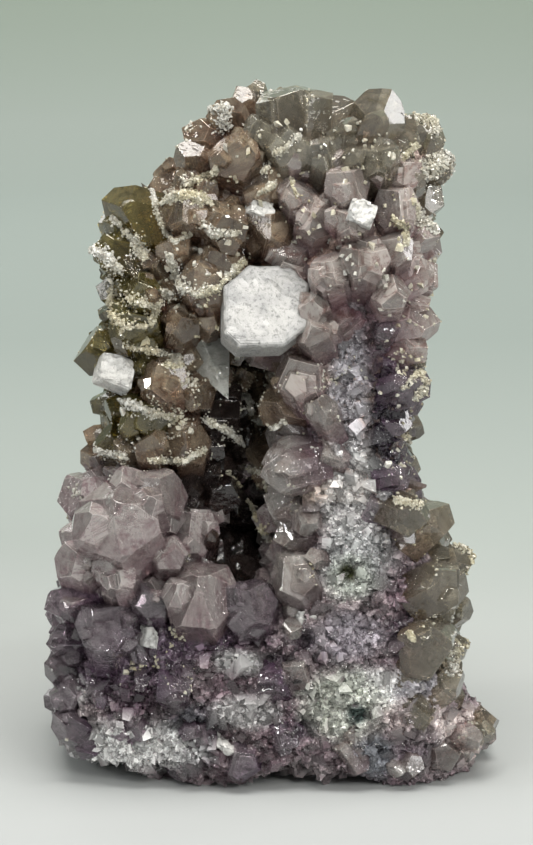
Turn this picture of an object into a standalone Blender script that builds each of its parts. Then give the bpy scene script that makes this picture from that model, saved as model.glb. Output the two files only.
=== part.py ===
"""Amethyst and calcite cluster, standing on its own broken base.

One quartz body carries all the amethyst points that grew out of it. Calcite crystals sit in sockets on it,
and a crust of dark points lines the back of the deep hollow between its left tower and its right column.
X is to the right, Y away from the viewer, Z up, in metres. Sizes in the tables are in millimetres.
"""

import itertools
import math
import random

import bmesh
import bpy
from mathutils import Matrix, Vector, noise
from mathutils.bvhtree import BVHTree

MM = 0.001

# The front view that the places are read from: pixels, and what a pixel spans in the middle of the cluster
PIXEL = 0.17 * MM
FRAME_MIDDLE = (266.5, 422.5)
VIEW_DISTANCE = 480 * MM
VIEW_ELEVATION = math.radians(12)
VIEW_AIM = Vector((-0.5 * MM, 0, 60 * MM))
SIGHT = Vector((0, math.cos(VIEW_ELEVATION), -math.sin(VIEW_ELEVATION)))
SIGHT_UP = Vector((0, math.sin(VIEW_ELEVATION), math.cos(VIEW_ELEVATION)))
EYE = VIEW_AIM - SIGHT * VIEW_DISTANCE

# The front outline in pixels, from the lower left round by the top
OUTLINE = (
    (60, 745), (45, 700), (40, 655), (46, 600), (55, 560), (60, 505), (78, 470), (90, 450), (84, 440), (98, 400),
    (103, 385), (76, 352), (94, 320), (98, 290), (92, 250), (100, 205), (150, 174), (188, 142), (184, 122), (215, 96),
    (240, 85), (256, 78), (268, 83), (324, 88), (324, 118), (345, 118), (388, 88), (402, 98), (406, 108), (434, 112),
    (438, 138), (458, 156), (444, 188), (440, 210), (448, 235), (440, 258), (440, 272), (437, 290), (428, 305),
    (441, 320), (432, 335), (430, 370), (427, 400), (414, 440), (418, 478), (418, 494), (446, 500), (448, 530),
    (474, 548), (475, 560), (464, 580), (472, 600), (462, 620), (467, 660), (457, 690), (490, 708), (504, 720),
    (503, 736), (470, 760), (440, 786), (350, 773), (310, 763), (240, 776), (180, 776), (120, 763),
)
# Above the bare foot the mass takes these shares of the outline's width and height, to leave room for the points
SHARE_ACROSS = 0.86
SHARE_UP = 0.91
MASS_MIDDLE = (262, 440)
BARE_BELOW = 695
TRIM_NEAR = -40 * MM
TRIM_FAR = 40 * MM

# The massive quartz under the points: centre, half sizes, turn about Y in degrees, squareness
LUMPS = {
    "base": ((-1.5, 2, 13), (33, 19, 20), 0, 5),
    "base_front": ((2, -8, 15), (29, 10, 15), 0, 4),
    "toe": ((29, -2, 6), (11, 9, 8), -8, 3),
    "left_bulge": ((-24, -3, 36), (11.5, 14, 14), 0, 2.5),
    "left_tower": ((-17, 4, 66), (11, 14, 32), 2, 2.5),
    "left_shoulder": ((-16, 2, 84), (12, 14, 16), 12, 2.5),
    "right_column": ((14.5, -5, 58), (10.5, 13, 56), 0, 3),
    "column_foot": ((17, -6, 28), (13.5, 12.5, 18), 0, 3),
    "crown": ((2, 1, 99), (20, 14, 14), 0, 2.5),
    "crown_right": ((14, 0, 102), (12, 13, 12), 0, 2.5),
    "back_wall": ((0, 13, 58), (24, 9, 54), 0, 3),
}
MASS_VOXEL = 1.6 * MM
MASS_FACES = 420
JOIN_SOFTENING = 5
# The rough surface: how high, and the widths of its coarse and fine waves
ROUGHNESS = 1.3 * MM
COARSE_WAVE = 9 * MM
FINE_WAVE = 4 * MM
FINE_SHARE = 0.6

# Quartz points: slope of an end face, a prism's share of the width, and how uneven the faces are
END_SLOPE = 1.15
PRISM_SHARE = 0.92
PRISM_UNEVEN = 0.12
END_UNEVEN = 0.11
SLOPE_UNEVEN = 0.05
APEX_SHIFT = 0.12
# The three small end faces lie this share of the width behind the broad ones, on wide crystals only
SMALL_END_BACK = 0.07
SIX_ENDS_FROM = 11.8 * MM
BLUNT_SLOPE = 0.3
ROOT_DEPTH = 3 * MM
POINT_SEED = 5
STUB_SHAPE_SEED = 6

# Points read from the front view: root pixel, tip pixel, reach towards the viewer, width
EDGE_LEFT = (
    ((152, 222), (97, 206), 1.5, 9.5),
    ((132, 262), (87, 249), 2, 7),
    ((122, 345), (70, 358), 1, 9),
    ((118, 292), (94, 286), 1, 4.5),
    ((112, 405), (89, 399), 1.5, 4.5),
    ((105, 440), (82, 430), 1, 4),
    ((104, 462), (78, 450), 1.5, 5),
    ((92, 505), (63, 474), 1, 8),
    ((88, 540), (55, 532), 1, 5.5),
    ((85, 600), (43, 612), 2, 6.5),
    ((76, 640), (44, 640), 1, 6),
    ((76, 676), (41, 664), 2, 5),
    ((72, 704), (42, 694), 2, 4),
    ((84, 735), (50, 716), 2, 5.5),
    ((178, 178), (150, 170), 1, 6),
    ((200, 162), (176, 143), 2, 6),
)
CROWN = (
    ((216, 140), (181, 124), 1.5, 6),
    ((238, 130), (217, 95), 2, 6),
    ((250, 118), (236, 84), 1, 5),
    ((258, 112), (255, 77), -1, 4),
    ((366, 146), (392, 87), 2, 8.5),
    ((345, 150), (350, 112), 2, 6),
    ((416, 158), (431, 110), 1, 7),
    ((424, 176), (458, 156), 1, 5.5),
    ((418, 210), (444, 188), 2, 5),
    ((418, 240), (448, 234), 2, 5),
    ((405, 282), (437, 262), 0, 7),
    ((404, 325), (441, 318), 2, 6),
    ((404, 350), (430, 345), 3, 5),
)
EDGE_RIGHT = (
    ((398, 388), (429, 378), 3, 6.5),
    ((400, 430), (422, 422), 3, 4.5),
    ((402, 470), (420, 458), 2, 5),
    ((415, 532), (449, 499), 1, 7.5),
    ((440, 565), (478, 552), 1, 5),
    ((428, 592), (464, 574), 4, 8.5),
    ((445, 620), (474, 600), 2, 5),
    ((448, 652), (468, 640), 2, 5),
    ((440, 690), (466, 672), 2, 5.5),
)
UPPER_FACE = (
    ((196, 216), (184, 188), 8, 10),
    ((238, 168), (232, 142), 7, 8.5),
    ((262, 148), (262, 118), 5, 7),
    ((290, 160), (292, 128), 6, 8),
    ((322, 168), (328, 142), 6, 7.5),
    ((372, 175), (370, 142), 8, 9),
    ((400, 185), (405, 160), 6, 7),
    ((216, 288), (210, 252), 9, 12),
    ((226, 238), (226, 214), 8, 8),
    ((262, 190), (264, 168), 6, 8),
    ((270, 232), (276, 208), 6, 8.5),
    ((298, 206), (300, 182), 6, 7.5),
    ((316, 232), (322, 206), 7, 7.5),
    ((346, 200), (348, 172), 8, 8),
    ((352, 232), (350, 208), 8, 7),
    ((394, 222), (398, 194), 7, 7),
    ((334, 285), (328, 258), 8, 7.5),
    ((362, 275), (364, 248), 9, 8),
    ((392, 262), (396, 240), 7, 6),
    ((388, 305), (394, 285), 8, 6.5),
    ((296, 282), (284, 262), 7.5, 6.5),
    ((318, 318), (310, 300), 7, 5.5),
    ((180, 262), (168, 238), 6, 5.5),
    ((150, 300), (136, 282), 6, 6.5),
)
LEFT_FACE = (
    ((138, 332), (126, 304), 7, 9),
    ((168, 392), (158, 362), 6, 9),
    ((182, 338), (186, 318), 7, 6),
    ((205, 330), (212, 312), 6, 5),
    ((150, 425), (140, 404), 7, 8),
    ((118, 452), (112, 434), 6, 6.5),
    ((156, 462), (150, 436), 7, 6),
    ((190, 458), (190, 434), 7, 7.5),
    ((226, 448), (232, 430), 4, 6),
)
LILAC_GROUP = (
    ((128, 535), (112, 498), 12, 15.5),
    ((156, 512), (160, 482), 9, 9.5),
    ((188, 548), (196, 516), 7, 8.5),
    ((80, 574), (72, 552), 8, 7.5),
    ((120, 582), (114, 560), 8, 8),
    ((166, 566), (172, 548), 7, 6),
    ((204, 608), (198, 576), 10, 12),
    ((250, 618), (248, 592), 8, 9),
    ((108, 645), (100, 614), 8, 9.5),
    ((150, 612), (146, 592), 6, 6),
    ((72, 705), (64, 684), 7, 6),
)
COLUMN_FLANK = (
    ((305, 392), (290, 362), 6, 8.5),
    ((300, 412), (254, 402), 3, 7.5),
    ((306, 462), (254, 474), 3, 9),
    ((298, 510), (262, 494), 3, 7.5),
    ((292, 548), (256, 520), 1, 7),
    ((302, 590), (280, 562), 6, 8),
    ((322, 345), (310, 322), 7, 6),
    ((330, 425), (318, 400), 5, 5),
)
FRONT_POINTS = EDGE_LEFT + CROWN + EDGE_RIGHT + UPPER_FACE + LEFT_FACE + LILAC_GROUP + COLUMN_FLANK
# Blunt crystals on the crown, read the same way
BLUNT_POINTS = (
    ((288, 150), (284, 83), -1, 9.5),
    ((310, 150), (313, 88), 0, 6.5),
)

# Points that cover the sides, the top and the back
FILL_SEED = 11
FILL_TRIES = 1100
FILL_WIDTH = (9.5, 14)
FILL_SPACING = 0.9
FILL_FLOOR = 9 * MM
FILL_LEAN = 0.35
FILL_LIFT = 0.15
# Reach as a share of the width: the longest that stays inside the outline is taken
FILL_REACHES = (0.8, 0.6, 0.48, 0.38)
# No points grow on faces that look down more than this
DOWNWARD = -0.5
# Patches of bare quartz on the back: how wide, and the noise level over which the quartz is bare
BARE_SIZE = 22 * MM
BARE_LEVEL = 0.12
BARE_SHIFT = Vector((3, 0, 1))
# Bare, broken quartz on the front: centre pixel, half width and half height in pixels
BROKEN = (
    ((352, 440), 48, 150),
    ((260, 705), 215, 78),
    ((372, 600), 70, 60),
)
FRONTAL = -0.25
# Pale, fine-grained patches of it, without stubs
SUGAR_FIELDS = (
    ((350, 460), 24, 140),
    ((352, 568), 42, 36),
    ((130, 748), 64, 20),
    ((362, 698), 48, 34),
    ((350, 636), 34, 22),
    ((246, 712), 30, 15),
    ((240, 662), 24, 11),
    ((480, 728), 30, 18),
)

# Low broken stubs on the bare quartz
STUB_SEED = 4
STUB_TRIES = 90
STUB_WIDTH = (6.5, 10.0)
STUB_SPACING = 0.8
STUB_RISE = (1.2, 3.0)
STUB_LEAN = 0.6

# The hollow between the tower and the column, and the crust that fills the back of it
HOLLOW_LOW = Vector((-13.5, 4, 27)) * MM
HOLLOW_HIGH = Vector((1.5, 12, 62)) * MM
CRUST_THICK = 3 * MM
CRUST_SEED = 21
CRUST_POINTS = 12
CRUST_WIDTH = (5.0, 7.5)
CRUST_REACH = (4.5, 8.0)

# Middle of the finished cluster's foot on the ground, which becomes the origin
FOOT_MIDDLE = Vector((-0.1, 1.8, 0)) * MM

# Space between pieces that touch, in the hollow and round a calcite
GAP = 0.3 * MM
SOCKET_GAP = 0.35 * MM

# The large calcite plate: pixels round its front face, its thickness and bevel, its lean back and turn right
PLATE_CORNERS = ((249, 264), (290, 264), (310, 284), (310, 326), (284, 346), (239, 347), (224, 333), (224, 285))
PLATE_CENTRE = (266, 306)
PLATE_Y = -20.5 * MM
PLATE_THICK = 5.2 * MM
PLATE_BEVEL = 0.35 * MM
PLATE_LEAN = math.radians(29)
PLATE_TURN = math.radians(8)

# Small calcite blocks: pixel, reach out of the surface, half sizes, lean about X, Y and Z, skew, trimmed corners
TOP = ((0, 0, 1), 0.8)
UPPER_RIGHT = ((1, -1, 1), 0.72)
UPPER_LEFT = ((-1, -1, 1), 0.72)
LOWER_RIGHT = ((1, -1, -1), 0.75)
LOWER_LEFT = ((-1, -1, -1), 0.75)
BLOCKS = {
    "calcite_rhomb": ((114, 371), 2.4, (2.7, 2.3, 2.6), (-0.5, 0.15, 0.1), 0.25, (TOP, UPPER_RIGHT)),
    "calcite_button": (
        (362, 212), 1.3, (2.1, 1.9, 2.2), (-0.3, 0.35, 0.1), 0,
        (TOP, UPPER_RIGHT, UPPER_LEFT, LOWER_RIGHT, LOWER_LEFT),
    ),
    "calcite_tooth": ((149, 636), 0.6, (1.2, 1.4, 1.9), (-0.2, 0.2, 0.3), 0.2, (UPPER_RIGHT, UPPER_LEFT)),
    "calcite_chip": ((226, 746), 0.5, (1.8, 1.4, 0.9), (0.1, 0.3, -0.2), 0.35, (UPPER_RIGHT, UPPER_LEFT, LOWER_RIGHT)),
    "calcite_flake": ((305, 618), 0.3, (1.5, 1.2, 1.3), (-0.2, -0.3, 0.2), 0.2, (UPPER_RIGHT,)),
    "calcite_block": ((260, 208), 0.6, (1.9, 1.6, 1.4), (-0.3, 0.2, 0.25), 0.2, (TOP, UPPER_RIGHT)),
}

# The clear calcite that points down into the hollow: root and tip pixels, their depths from the surface, half widths
SPIKE_ROOT = (206, 348)
SPIKE_TIP = (229, 401)
SPIKE_SURFACE = (212, 356)
SPIKE_ROOT_DEPTH = 2 * MM
SPIKE_REACH = 4.5 * MM
SPIKE_HALF_ACROSS = 4.4 * MM
SPIKE_HALF_OUT = 3.4 * MM

AMETHYST = ((0.47, 0.40, 0.45), 0.25)
DARK_QUARTZ = ((0.07, 0.055, 0.06), 0.3)
WHITE_CALCITE = ((0.82, 0.81, 0.77), 0.38)
CLEAR_CALCITE = ((0.55, 0.58, 0.50), 0.12)


def in_view(pixel, y):
    """The place at depth y that the front view shows at a pixel."""
    right = Vector((1, 0, 0)) * (pixel[0] - FRAME_MIDDLE[0])
    up = SIGHT_UP * (FRAME_MIDDLE[1] - pixel[1])
    ray = SIGHT + (right + up) * (PIXEL / VIEW_DISTANCE)
    return EYE + ray * ((y - EYE.y) / ray.y)


def pixel_of(point):
    """The pixel of the front view that shows a place."""
    ray = point - EYE
    scale = VIEW_DISTANCE / PIXEL / ray.dot(SIGHT)
    return FRAME_MIDDLE[0] + ray.x * scale, FRAME_MIDDLE[1] - ray.dot(SIGHT_UP) * scale


def inside_outline(pixel):
    """True where a pixel lies inside the outline."""
    u, v = pixel
    inside = False
    for (u0, v0), (u1, v1) in zip(OUTLINE, OUTLINE[1:] + OUTLINE[:1]):
        if (v0 > v) != (v1 > v) and u < u0 + (v - v0) / (v1 - v0) * (u1 - u0):
            inside = not inside
    return inside


def seen_depth(surface, pixel):
    """The depth of the surface that the front view shows at a pixel, or zero where it shows none."""
    hit = surface.ray_cast(EYE, (in_view(pixel, 0) - EYE).normalized())[0]
    return hit.y if hit else 0.0


def clear_scene():
    for obj in list(bpy.data.objects):
        bpy.data.objects.remove(obj)


def add_object(name, bm):
    mesh = bpy.data.meshes.new(name)
    bm.to_mesh(mesh)
    bm.free()
    obj = bpy.data.objects.new(name, mesh)
    bpy.context.scene.collection.objects.link(obj)
    return obj


def gather(name, objects):
    """A collection that holds some objects."""
    group = bpy.data.collections.new(name)
    bpy.context.scene.collection.children.link(group)
    for obj in objects:
        group.objects.link(obj)
    return group


def discard(objects):
    for obj in list(objects):
        bpy.data.objects.remove(obj)


def apply_modifiers(obj):
    graph = bpy.context.evaluated_depsgraph_get()
    obj.data = bpy.data.meshes.new_from_object(obj.evaluated_get(graph))
    obj.modifiers.clear()


def surface_of(obj):
    """The object's surface, for rays."""
    return BVHTree.FromObject(obj, bpy.context.evaluated_depsgraph_get())


def boolean(obj, operation, other):
    """Applies an exact Boolean of a body with another body, or with all bodies of a collection."""
    cut = obj.modifiers.new(operation.lower(), "BOOLEAN")
    cut.operation = operation
    cut.solver = "EXACT"
    if isinstance(other, bpy.types.Collection):
        cut.operand_type = "COLLECTION"
        cut.collection = other
    else:
        cut.object = other
    apply_modifiers(obj)


def box(name, low, high):
    """A closed box between two corners."""
    bm = bmesh.new()
    size = Vector(high) - Vector(low)
    place = Matrix.Translation((Vector(high) + Vector(low)) / 2) @ Matrix.Diagonal((*size, 1))
    bmesh.ops.create_cube(bm, size=1, matrix=place)
    return add_object(name, bm)


def polyhedron(planes):
    """The closed convex solid inside some planes, each an outward normal and its distance from the origin."""
    bm = bmesh.new()
    for trio in itertools.combinations(planes, 3):
        normals = Matrix([normal for normal, _ in trio])
        if abs(normals.determinant()) < 1e-4:
            continue
        corner = normals.inverted() @ Vector([distance for _, distance in trio])
        if all(normal.dot(corner) <= distance + 1e-8 for normal, distance in planes):
            bm.verts.new(corner)
    bmesh.ops.remove_doubles(bm, verts=bm.verts, dist=2e-5)
    made = bmesh.ops.convex_hull(bm, input=bm.verts)
    spare = {item for item in made["geom_interior"] + made["geom_unused"] if isinstance(item, bmesh.types.BMVert)}
    bmesh.ops.delete(bm, geom=list(spare), context="VERTS")
    bmesh.ops.dissolve_limit(bm, angle_limit=math.radians(1), verts=bm.verts, edges=bm.edges)
    bmesh.ops.recalc_face_normals(bm, faces=bm.faces)
    return bm


def solid_at(name, planes, middle, grow=0.0):
    """A convex solid from planes in world places, grown on all sides and built about its middle for accuracy."""
    bm = polyhedron([(normal, distance - normal.dot(middle) + grow) for normal, distance in planes])
    bmesh.ops.translate(bm, verts=bm.verts, vec=middle)
    return add_object(name, bm)


def quartz_planes(length, width, rng, slope_base):
    """A quartz crystal up +Z from the origin: six prism faces, three broad end faces and three small ones."""
    planes = [(Vector((0, 0, -1)), 0.0)]
    turn = rng.uniform(0, math.tau)
    lean = Vector((rng.uniform(-1, 1), rng.uniform(-1, 1), 0)) * APEX_SHIFT * width
    for side in range(6):
        angle = turn + side * math.tau / 6
        out = Vector((math.cos(angle), math.sin(angle), 0))
        half = width / 2 * PRISM_SHARE * (1 + rng.uniform(-PRISM_UNEVEN, PRISM_UNEVEN))
        planes.append((out, half))
        slope = slope_base * (1 + rng.uniform(-SLOPE_UNEVEN, SLOPE_UNEVEN))
        face = Vector((out.x * slope, out.y * slope, 1)).normalized()
        broad = side % 2 == 0
        back = -rng.uniform(0, END_UNEVEN) if broad else SMALL_END_BACK - rng.uniform(0, END_UNEVEN)
        apex = Vector((lean.x, lean.y, length + back * width))
        if broad or width > SIX_ENDS_FROM:
            planes.append((face, face.dot(apex)))
    return planes


def add_crystals(name, crystals, seed, slope=END_SLOPE):
    """One closed solid for each crystal, from root to tip."""
    rng = random.Random(seed)
    made = []
    for number, (root, tip, width) in enumerate(crystals):
        bm = polyhedron(quartz_planes((tip - root).length, width, rng, slope))
        turn = Vector((0, 0, 1)).rotation_difference(tip - root).to_matrix().to_4x4()
        bmesh.ops.transform(bm, matrix=Matrix.Translation(root) @ turn, verts=bm.verts)
        made.append(add_object(f"{name}_{number:03d}", bm))
    return made


def outline_prism():
    """The space that the front view sees inside the outline, shrunk towards its middle above the bare foot."""
    bm = bmesh.new()
    ends = []
    for y in (TRIM_NEAR, TRIM_FAR):
        ring = []
        for u, v in OUTLINE:
            bare = v > BARE_BELOW
            across = MASS_MIDDLE[0] + (u - MASS_MIDDLE[0]) * (1 if bare else SHARE_ACROSS)
            down = MASS_MIDDLE[1] + (v - MASS_MIDDLE[1]) * (1 if bare else SHARE_UP)
            ring.append(bm.verts.new(in_view((across, down), y)))
        ends.append(ring)
    near, far = ends
    bm.faces.new(near)
    bm.faces.new(reversed(far))
    for i in range(len(near)):
        j = (i + 1) % len(near)
        bm.faces.new((near[j], near[i], far[i], far[j]))
    bmesh.ops.recalc_face_normals(bm, faces=bm.faces)
    return add_object("outline_prism", bm)


def join_lumps(mass):
    """Makes one body with soft joins by a voxel remesh."""
    remesh = mass.modifiers.new("one_body", "REMESH")
    remesh.mode = "VOXEL"
    remesh.voxel_size = MASS_VOXEL
    smooth = mass.modifiers.new("soft_joins", "SMOOTH")
    smooth.factor = 0.5
    smooth.iterations = JOIN_SOFTENING
    apply_modifiers(mass)


def make_mass():
    """The lumps made one closed body inside the outline, with a rough surface."""
    bm = bmesh.new()
    for centre, half, turn, squareness in LUMPS.values():
        place = (
            Matrix.Translation(Vector(centre) * MM)
            @ Matrix.Rotation(math.radians(turn), 4, "Y")
            @ Matrix.Diagonal((*(Vector(half) * MM), 1))
        )
        made = bmesh.ops.create_icosphere(bm, subdivisions=4, radius=1, matrix=Matrix())
        for vert in made["verts"]:
            reach = sum(abs(c) ** squareness for c in vert.co) ** (-1 / squareness)
            vert.co = place @ (vert.co * reach)
    mass = add_object("amethyst_cluster", bm)
    join_lumps(mass)
    prism = outline_prism()
    boolean(mass, "INTERSECT", prism)
    discard([prism])
    join_lumps(mass)
    for vert in mass.data.vertices:
        rough = noise.noise(vert.co / COARSE_WAVE) + FINE_SHARE * noise.noise(vert.co / FINE_WAVE)
        vert.co += vert.normal * rough * ROUGHNESS
    return mass


def thin_mass(mass):
    """Fewer, larger faces on the mass, so that it reads as broken quartz."""
    thin = mass.modifiers.new("thin", "DECIMATE")
    thin.ratio = MASS_FACES / len(mass.data.polygons)
    apply_modifiers(mass)


def front_crystals(surface, table):
    """(root, tip, width) of each crystal of a table that the front view shows."""
    made = []
    for root_pixel, tip_pixel, reach, width in table:
        spot = in_view(root_pixel, seen_depth(surface, root_pixel))
        tip = in_view(tip_pixel, spot.y - reach * MM)
        made.append((spot - (tip - spot).normalized() * ROOT_DEPTH, tip, width * MM))
    return made


def fits_outline(root, tip, width):
    """True for a crystal whose tip and shoulders the front view shows inside the outline."""
    axis = (tip - root).normalized()
    shoulder = tip - axis * width * 0.5
    side = axis.cross(SIGHT).normalized() * width * 0.5
    return all(inside_outline(pixel_of(place)) for place in (tip, shoulder + side, shoulder - side))


def in_ellipses(point, ellipses):
    """True for a place that the front view shows in one of some ellipses."""
    u, v = pixel_of(point)
    return any(((u - mid[0]) / half_u) ** 2 + ((v - mid[1]) / half_v) ** 2 < 1 for mid, half_u, half_v in ellipses)


def on_broken_face(point, normal):
    """True on the front where the quartz is broken and carries no points."""
    if normal.y > FRONTAL:
        return False
    return in_ellipses(point, BROKEN)


def on_bare_back(point, normal):
    """True in the patches of bare quartz on the back."""
    return normal.y > 0.3 and noise.noise(point / BARE_SIZE + BARE_SHIFT) > BARE_LEVEL


def random_spots(mesh, triangles, count, rng):
    """Evenly spread random places on triangles, each with its normal."""
    areas = list(itertools.accumulate(triangle.area for triangle in triangles))
    for _ in range(count):
        triangle = rng.choices(triangles, cum_weights=areas)[0]
        a, b, c = (mesh.vertices[i].co for i in triangle.vertices)
        s, t = sorted((rng.random(), rng.random()))
        yield a * s + b * (t - s) + c * (1 - t), triangle.normal


def random_vector(rng):
    return Vector([rng.uniform(-1, 1) for _ in range(3)])


def fill_crystals(mesh, taken):
    """(root, tip, width) of crystals spread over the sides, the top and the back, clear of those taken."""
    rng = random.Random(FILL_SEED)
    placed = [(root + (tip - root).normalized() * ROOT_DEPTH, width) for root, tip, width in taken]
    made = []
    for spot, normal in random_spots(mesh, mesh.loop_triangles, FILL_TRIES, rng):
        width = rng.uniform(*FILL_WIDTH) * MM
        axis = (normal + random_vector(rng) * FILL_LEAN + Vector((0, 0, FILL_LIFT))).normalized()
        bare = on_broken_face(spot, normal) or on_bare_back(spot, normal)
        if bare or spot.z < FILL_FLOOR or normal.z < DOWNWARD:
            continue
        if any((spot - other).length < FILL_SPACING * (width + w) / 2 for other, w in placed):
            continue
        root = spot - axis * ROOT_DEPTH
        fitting = [reach for reach in FILL_REACHES if fits_outline(root, spot + axis * width * reach, width)]
        if fitting:
            placed.append((spot, width))
            made.append((root, spot + axis * width * fitting[0], width))
    return made


def stub_crystals(mesh):
    """(root, tip, width) of low broken crystals on the bare quartz of the front."""
    rng = random.Random(STUB_SEED)
    triangles = [t for t in mesh.loop_triangles if on_broken_face(mesh.vertices[t.vertices[0]].co, t.normal)]
    placed = []
    made = []
    for spot, normal in random_spots(mesh, triangles, STUB_TRIES, rng):
        width = rng.uniform(*STUB_WIDTH) * MM
        axis = (normal + random_vector(rng) * STUB_LEAN).normalized()
        rise = rng.uniform(*STUB_RISE) * MM
        if in_ellipses(spot, SUGAR_FIELDS):
            continue
        if any((spot - other).length < STUB_SPACING * (width + w) / 2 for other, w in placed):
            continue
        placed.append((spot, width))
        made.append((spot - axis * ROOT_DEPTH, spot + axis * rise, width))
    return made


def clean(obj):
    """Joins flat neighbours, keeps the largest shell and makes triangles."""
    bm = bmesh.new()
    bm.from_mesh(obj.data)
    bmesh.ops.dissolve_limit(bm, angle_limit=math.radians(0.5), verts=bm.verts, edges=bm.edges)
    bmesh.ops.triangulate(bm, faces=bm.faces)
    left = set(bm.verts)
    shells = []
    while left:
        shell = [left.pop()]
        for vert in shell:
            for edge in vert.link_edges:
                other = edge.other_vert(vert)
                if other in left:
                    left.remove(other)
                    shell.append(other)
        shells.append(shell)
    shells.sort(key=len)
    for shell in shells[:-1]:
        bmesh.ops.delete(bm, geom=shell, context="VERTS")
    bmesh.ops.recalc_face_normals(bm, faces=bm.faces)
    bm.to_mesh(obj.data)
    bm.free()


def paint(obj, look):
    """Gives a body its own material."""
    colour, roughness = look
    material = bpy.data.materials.new(obj.name)
    material.use_nodes = True
    shader = material.node_tree.nodes["Principled BSDF"]
    shader.inputs["Base Color"].default_value = (*colour, 1)
    shader.inputs["Roughness"].default_value = roughness
    shader.inputs["Metallic"].default_value = 0
    obj.data.materials.clear()
    obj.data.materials.append(material)


def plate_solid():
    """The planes and the middle of the calcite plate: two broad faces, and a bevelled side for each corner pair."""
    upright = math.cos(PLATE_LEAN)
    out = Vector((math.sin(PLATE_TURN) * upright, -math.cos(PLATE_TURN) * upright, math.sin(PLATE_LEAN)))
    anchor = in_view(PLATE_CENTRE, PLATE_Y)
    corners = []
    for pixel in PLATE_CORNERS:
        sight = (in_view(pixel, 0) - EYE).normalized()
        corners.append(EYE + sight * ((anchor - EYE).dot(out) / sight.dot(out)))
    planes = [(out, out.dot(anchor)), (-out, PLATE_THICK - out.dot(anchor))]
    for a, b in zip(corners, corners[1:] + corners[:1]):
        side = (b - a).cross(out).normalized()
        if side.dot(a - anchor) < 0:
            side.negate()
        bevel = (side + out).normalized()
        planes.append((side, side.dot(a)))
        planes.append((bevel, bevel.dot(a) - PLATE_BEVEL))
    return planes, anchor - out * PLATE_THICK / 2


def block_solid(surface, pixel, reach, half, lean, skew, trims):
    """The planes and the middle of a leaning calcite block with skewed sides and trimmed corners."""
    middle = in_view(pixel, seen_depth(surface, pixel) - reach * MM)
    turn = Matrix.Rotation(lean[2], 3, "Z") @ Matrix.Rotation(lean[0], 3, "X") @ Matrix.Rotation(lean[1], 3, "Y")
    own = []
    for axis in range(3):
        for sign in (-1, 1):
            normal = Vector((0, 0, 0))
            normal[axis] = sign
            normal[(axis + 1) % 3] = sign * skew
            own.append((normal.normalized(), half[axis] * MM))
    for trim, share in trims:
        normal = Vector(trim).normalized()
        own.append((normal, share * sum(abs(n) * h for n, h in zip(normal, half)) * MM))
    planes = [(turn @ normal, distance + (turn @ normal).dot(middle)) for normal, distance in own]
    return planes, middle


def spike_solid(surface):
    """The planes and the middle of the clear calcite: four steep faces that meet at the tip, and a flat root."""
    depth = seen_depth(surface, SPIKE_SURFACE)
    root = in_view(SPIKE_ROOT, depth + SPIKE_ROOT_DEPTH)
    tip = in_view(SPIKE_TIP, depth - SPIKE_REACH)
    length = (tip - root).length
    axis = (tip - root) / length
    across = axis.cross(SIGHT).normalized()
    outward = across.cross(axis).normalized()
    planes = [(-axis, -axis.dot(root))]
    for side, half in (
        (across, SPIKE_HALF_ACROSS),
        (-across, SPIKE_HALF_ACROSS),
        (outward, SPIKE_HALF_OUT),
        (-outward, SPIKE_HALF_OUT),
    ):
        face = (side * length + axis * half).normalized()
        planes.append((face, face.dot(tip)))
    return planes, root + axis * length * 0.4


def make_calcites(surface):
    """Makes every calcite crystal, and returns the grown copies that cut its socket."""
    solids = {"calcite_plate": plate_solid(), "calcite_spike": spike_solid(surface)}
    for name, values in BLOCKS.items():
        solids[name] = block_solid(surface, *values)
    sockets = []
    for name, (planes, middle) in solids.items():
        sockets.append(solid_at(f"{name}_socket", planes, middle, SOCKET_GAP))
        calcite = solid_at(name, planes, middle)
        clean(calcite)
        paint(calcite, CLEAR_CALCITE if name == "calcite_spike" else WHITE_CALCITE)
    return sockets


def make_crust():
    """The dark crust in the hollow: a slab with points towards the mouth, kept inside the hollow."""
    rng = random.Random(CRUST_SEED)
    low = HOLLOW_LOW + Vector((GAP, 0, GAP))
    high = HOLLOW_HIGH - Vector((GAP, GAP, GAP))
    crust = box("recess_crust", (low.x, high.y - CRUST_THICK, low.z), high)
    crystals = []
    for _ in range(CRUST_POINTS):
        root = Vector((rng.uniform(low.x, high.x), high.y - 1 * MM, rng.uniform(low.z, high.z)))
        axis = Vector((rng.uniform(-0.45, 0.45), -1, rng.uniform(-0.35, 0.5))).normalized()
        width = rng.uniform(*CRUST_WIDTH) * MM
        crystals.append((root, root + axis * rng.uniform(*CRUST_REACH) * MM, width))
    points = add_crystals("crust_point", crystals, CRUST_SEED)
    boolean(crust, "UNION", gather("crust_points", points))
    discard(points)
    room = box("room", low, high)
    boolean(crust, "INTERSECT", room)
    discard([room])
    clean(crust)
    paint(crust, DARK_QUARTZ)


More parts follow.
